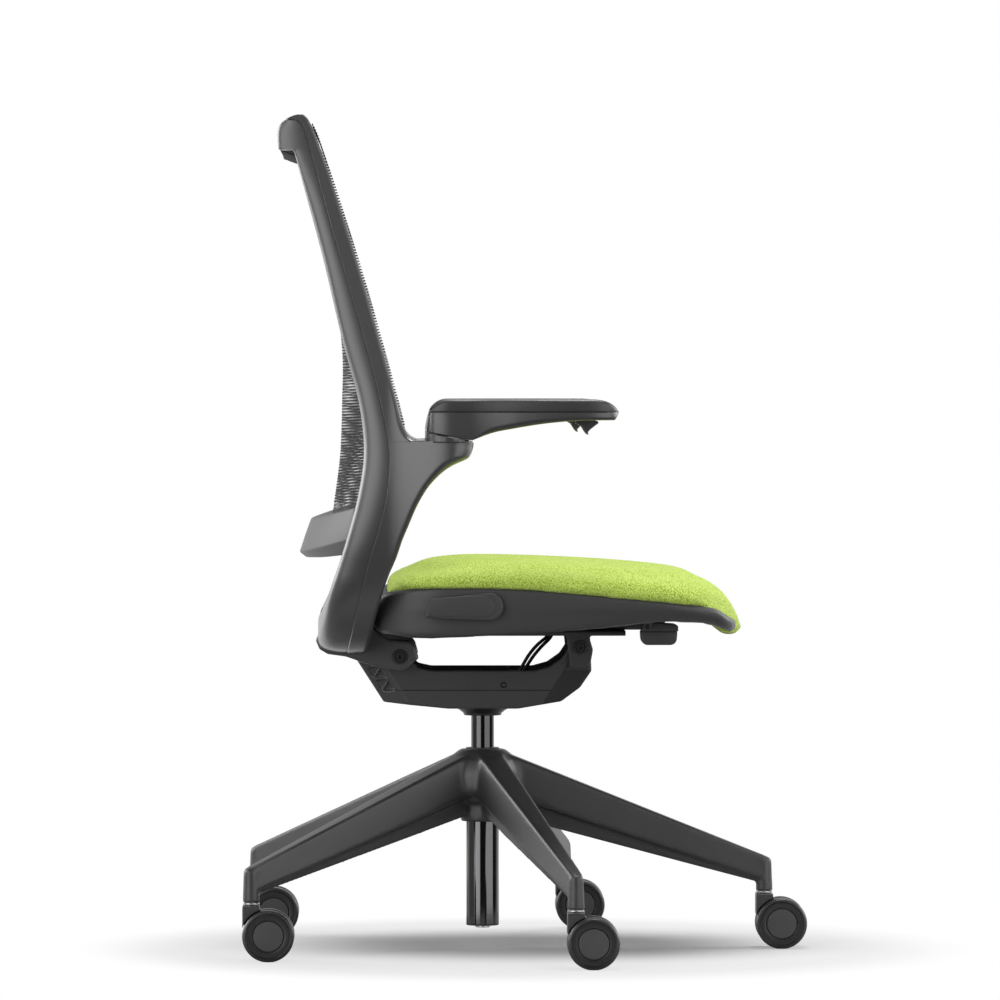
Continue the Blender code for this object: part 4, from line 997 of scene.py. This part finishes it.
def lobe(side, word):
    """Rounded rear half of an upright, hooked back at the head."""
    rings = []
    for station in stations(LOBE_LEVELS):
        _, z, _ = station
        rear = along(HOOK_EDGE if z > HOOK_LEVEL else REAR_EDGE, z)
        front = along(SEAM, z) - SEAM_GAP
        half, deep = along(THICKNESS, z) / 2 - 1, front - rear
        round_by = 0.4 + 0.5 * eased(100, 180, z)
        if z < HOOK_LEVEL:
            round_by -= 0.65 * eased(590, HEAD_LEVEL, z)
        outer = []
        for k in range(19):
            turn = math.radians(5 * k)
            outer.append((front - deep * math.sin(turn), half * math.cos(turn) ** round_by))
        inner = [(x, -v) for x, v in reversed(outer[:-1])]
        rings.append(upright_ring(side, station, outer + inner))
    return drawn_through(f"carrier_{word}_skin", rings)


def lumbar_bar():
    """Cross bar that bows back between the uprights, with a cut-back underside."""
    rings = []
    for k in range(41):
        share = k / 20 - 1
        bow = share * share
        high, low = bar_top(share), 182 + 10 * bow
        face, deep, lean = -186 + 45 * bow, 24 - 9 * bow, 11 - 9 * bow
        points = [(0, 1), (-2, 0.5), (-lean, 0.12), (-lean - 3, 0), (-lean - deep + 6, 0)]
        points += [(-lean - deep - 2, 0.13 + 0.17 * bow), (-deep - lean * 0.5, 0.6)]
        points += [(1 - deep, 0.97), (4 - deep, 1)]
        ring = []
        for x, t in points:
            z = low + (high - low) * t
            ring.append(spot(face + x, share * (upright_inner(z) + 2), z))
        rings.append(ring)
    piece = drawn_through("lumbar_bar_skin", rings)
    step(piece, "BEVEL", width=1.5 * MM, segments=2, angle_limit=math.radians(25))
    apply_all(piece)
    return piece


def upright_inner(z):
    """Half-width between the uprights' inner faces at a height."""
    return along([(level, y) for y, level in PATH[:BEND + 1]], z) - along(THICKNESS, z) / 2


def mesh_point(share, z):
    """A point of the mesh, share -1 at the right-hand upright and 1 at the left."""
    middle, rim = along(MESH_MIDDLE, z), along(MESH_EDGE, z)
    return spot(middle + (rim - middle) * share * share, share * (upright_inner(z) - 0.8), z)


def bar_top(share):
    return 230.5 + 16 * share * share


def back_frame():
    """Two uprights, each a strip against a lobe, with the rail, lumbar bar and yoke."""
    for side, word in SIDES:
        stands_for(crisp(strip(side, word), FRAME_PLASTIC), f"frame_{word}")
        stands_for(crisp(lobe(side, word), FRAME_PLASTIC), f"carrier_{word}")
    stands_for(crisp(lumbar_bar(), BAR_PLASTIC), "lumbar_bar")
    rail = plate("top_rail_skin", RAIL, -181, 181, 2, FRAME_PLASTIC)
    # Painted shade: the rail's downward faces take a near-black finish.
    rail.data.materials.append(RAIL_PAINTED_SHADE)
    for face in rail.data.polygons:
        if face.normal.z < -0.25:
            face.material_index = 1
    stands_for(rail, "top_rail")
    rounded("yoke", 1.5, 8, FRAME_PLASTIC, 0.5)


def back_mesh():
    """Stretched net with cords across it that end over the fronts of the uprights."""
    bpy.ops.object.select_all(action="DESELECT")
    bpy.ops.mesh.primitive_grid_add(x_subdivisions=40, y_subdivisions=60, size=1)
    net = bpy.context.active_object
    net.name = "back_net"
    for v in net.data.vertices:
        share = v.co.x * 2
        low = bar_top(share) + 0.6
        v.co = mesh_point(share, low + (NET_TOP - low) * (v.co.y + 0.5))
    edit(net)
    bpy.ops.mesh.normals_make_consistent(inside=False)
    close_edit()
    stands_for(sleek(net, NET), "back_mesh")
    routes = []
    for k in range(CORD_COUNT):
        z = CORD_START + CORD_PITCH * k
        front = along(FRONT_EDGE, max(z, 345)) + 1.5 if z > 320 else -96.5
        inner = upright_inner(min(z, HEAD_LEVEL))
        outer = inner + along(THICKNESS, min(z, HEAD_LEVEL))
        route = [mesh_point(i / 12 - 1, z) for i in range(25)]
        if z > HEAD_LEVEL:
            route = [spot(front, inner * (i / 4 - 1), z) for i in range(9)]
        middle = inner * 0.45 + outer * 0.55
        for y, x in ((inner + 3, front), (middle, front + 0.8), (outer - 1.5, front)):
            route = [spot(x, -y, z)] + route + [spot(x, y, z)]
        routes.append(route)
    cords = swept("back_cords", routes, CORD_THICK, CORD, 1)
    settle(cords, body_of("back_mesh"), slot_of("back_mesh"))


# Arms


ARM_LOW = [
    (-15, 326.2), (9, 335), (32.5, 339.7), (68, 345.5), (105, 349), (150, 349.9), (153.5, 350.2),
    (155, 352.2), (156.5, 355.2), (158, 358.6),
]
ARM_HALF = [
    (-69.3, 5), (-68, 9), (-66, 12.5), (-62, 16.5), (-57, 19.2), (-46, 22), (-30, 22.6), (-12, 23),
    (10, 26.4), (40, 32.4), (80, 37), (115, 38), (140, 34.5), (151, 27.5), (155, 22.5), (158, 16),
]
ARM_REAR = [(-69.3, 338), (-68, 345.5), (-65.7, 355.6), (-64.2, 360)]
PAD_DROP = [
    (-64.4, 14.6), (-62.5, 10.8), (-59, 7), (-55.6, 4.2), (-51, 1.8), (-46, 0.4), (-38, 0),
    (125, 0), (136, 0.7), (145, 3), (151, 6.4), (155, 10), (158, 14.4),
]
ARM_SEAM = 359.4
PAD_TOP = 374.4


def arm_body(side, word):
    """Arm shell: round root over the collar, widening to the pad's underside."""
    rings = []
    places = [-69.3, -69, -68.3, -67.3, -66, -64.5, -62, -59, -56, -52, -47, -41, -34, -27, -20]
    places += [-15, *range(-9, 140, 8), 142, 146, 149.5, 152, 153.5, 155, 156.3, 157.3, 158]
    for x in places:
        slope = 334.6 - (x + 67) * 0.18 + 0.6
        low = slope + (along(ARM_LOW, x) - slope) * eased(-24, -8, x)
        high = min(along(ARM_REAR, x), ARM_SEAM)
        half = along(ARM_HALF, x)
        corner = min(1.5 + 6 * eased(-20, 10, x), (high - low) * 0.45, half * 0.8)
        edge = min(1.0, (high - low) * 0.2)
        right = [(0, high), (half * 0.6, high)] + arc(half - edge, high - edge, edge, 90, 0, 4)
        right += arc(half - corner, low + corner, corner, 0, -90, 8) + [(half * 0.4, low)]
        ring = [spot(x, side * (ARM_SIDE + y), z) for y, z in right]
        rest = [(0, low)] + [(-y, z) for y, z in reversed(right[1:])]
        rings.append(ring + [spot(x, side * (ARM_SIDE + y), z) for y, z in rest])
    piece = drawn_through(f"arm_body_{word}_skin", rings)
    stands_for(crisp(piece, ARM_PLASTIC, 40), f"arm_body_{word}")


def arm_pad(side, word):
    """Soft cap over the arm with a rolled top edge."""
    rings = []
    places = [-64.4, -63.8, -62.8, -61, -58.5, -55, -52, -48, -44, -38, -30, *range(-20, 126, 12)]
    places += [130, 135, 139, 143, 147, 150, 152.5, 154.5, 156.3, 157.4, 158]
    for x in places:
        half, high = along(ARM_HALF, x), PAD_TOP - along(PAD_DROP, x)
        low = ARM_SEAM + 0.25
        roll = min(4.5, (high - low) * 0.6, half * 0.8)
        edge = min(1.0, (high - low) * 0.2)
        right = [(0, high + 0.3 * roll / 4.5), (half * 0.5, high + 0.2 * roll / 4.5)]
        right += arc(half - roll, high - roll, roll, 90, 0, 8)
        right += arc(half - edge, low + edge, edge, 0, -90, 4) + [(half * 0.6, low)]
        ring = [spot(x, side * (ARM_SIDE + y), z) for y, z in right]
        rest = [(0, low)] + [(-y, z) for y, z in reversed(right[1:])]
        rings.append(ring + [spot(x, side * (ARM_SIDE + y), z) for y, z in rest])
    piece = drawn_through(f"arm_pad_{word}_skin", rings)
    stands_for(crisp(piece, PAD_SKIN, 40), f"arm_pad_{word}")


def arms():
    """Both arms, each on its block and pin."""
    for side, word in SIDES:
        arm_body(side, word)
        arm_pad(side, word)
        rounded(f"arm_block_{word}", 0.8, 10, ARM_PLASTIC)
        rounded(f"arm_trigger_{word}", 0.6, 4, ARM_PLASTIC)
        pin = turned(f"arm_pin_{word}_skin", [
            (3.6, -16.5), (4, -16.1), (4, 16.1), (3.6, 16.5),
        ], BRIGHT_STEEL, 32)
        stands_for(put(laid(pin), spot(-50, side * ARM_SIDE, 340.5)), f"arm_pin_{word}")


# Stage


def studio():
    """Floor that glows white away from the chair and keeps a grey painted shadow pool under it,
    white backdrop, soft lamps and the photo's camera.
    """
    scene = bpy.context.scene
    bpy.ops.object.select_all(action="DESELECT")
    bpy.ops.mesh.primitive_circle_add(vertices=96, radius=0.58, fill_type="NGON")
    floor = bpy.context.active_object
    floor.name = "floor"
    f = finish("floor_white")
    f.set(Base_Color=(0.4, 0.4, 0.4, 1), Roughness=0.9)
    x, y, _ = f.axes(f.place())
    away = (x * x + y * y) ** 0.5
    # Painted shadow: inside an ellipse under the chair the white glow is held back, so the grey
    # floor shows there as a shadow pool, with the real shadows in it.
    across, deep = (x - 0.02) * (1 / 0.46), (y - 0.05) * (1 / 0.32)
    clear = (across * across + deep * deep) ** 0.5
    seen = f.node("ShaderNodeLightPath", {}, {}, "Is Camera Ray")
    share = seen * (clear.between(0.3, 1.0) * 0.7 + away.between(0.4, 0.56) * 0.3)
    glow = f.node("ShaderNodeEmission", {}, {"Strength": 1.0})
    plain = Wire(f, f.shader.outputs[0])
    mixed = f.node("ShaderNodeMixShader", {}, {0: share, 1: plain, 2: glow})
    f.feed(f.tree.nodes["Material Output"].inputs[0], mixed)
    paint(floor, f.owner)
    scene.world = bpy.data.worlds.new("studio")
    w = Finish(scene.world, "Background")
    x, y, _ = w.axes(w.place("Generated"))
    rays = [w.node("ShaderNodeLightPath", {}, {}, f"Is {kind} Ray")
            for kind in ("Camera", "Glossy", "Transmission")]
    behind = y.between(0.15, 0.7)
    mirrored = rays[1].most(rays[2]) * (behind + (0 - x).between(0.3, 0.8) * 0.3 + 0.02)
    w.set(Color=(1, 1, 1, 1), Strength=rays[0].most(mirrored).most(0.04 + behind * 0.3))
    softbox("left_box", (-2.3, -2.7, 1.2), (2.8, 3.4), 72)
    softbox("right_box", (2.55, -2.35, 1.2), (3.7, 3.4), 72)
    softbox("left_rim", (-3.0, 1.0, 1.35), (2.4, 1.7), 70)
    softbox("right_rim", (3.0, 1.1, 1.35), (2.4, 1.7), 60)
    softbox("top_box", (0.3, 0.1, 3.2), (1.3, 1.3), 78)
    camera = bpy.data.cameras.new("camera")
    camera.lens = 265.6
    camera.sensor_width = 36
    camera.clip_end = 200
    eye = bpy.data.objects.new("camera", camera)
    scene.collection.objects.link(eye)
    eye.location = (-0.155, -8.998, 0.687)
    eye.rotation_euler = (math.radians(90 - 0.893), 0, math.radians(-0.783))
    scene.camera = eye
    scene.view_settings.view_transform = "Standard"


def softbox(name, place, size, power):
    """Large soft lamp aimed at the middle of the chair."""
    lamp = bpy.data.lights.new(name, "AREA")
    lamp.shape = "RECTANGLE"
    lamp.size, lamp.size_y = size
    lamp.energy = power
    box = bpy.data.objects.new(name, lamp)
    bpy.context.scene.collection.objects.link(box)
    box.location = place
    aim = Vector((COLUMN_X, 0, min(place[2], 1.2))) - Vector(place)
    box.rotation_euler = aim.to_track_quat("-Z", "Y").to_euler()
    box.visible_camera = False


star_base()
column()
casters()
control()
cushion()
seat()
back_frame()
back_mesh()
arms()
studio()
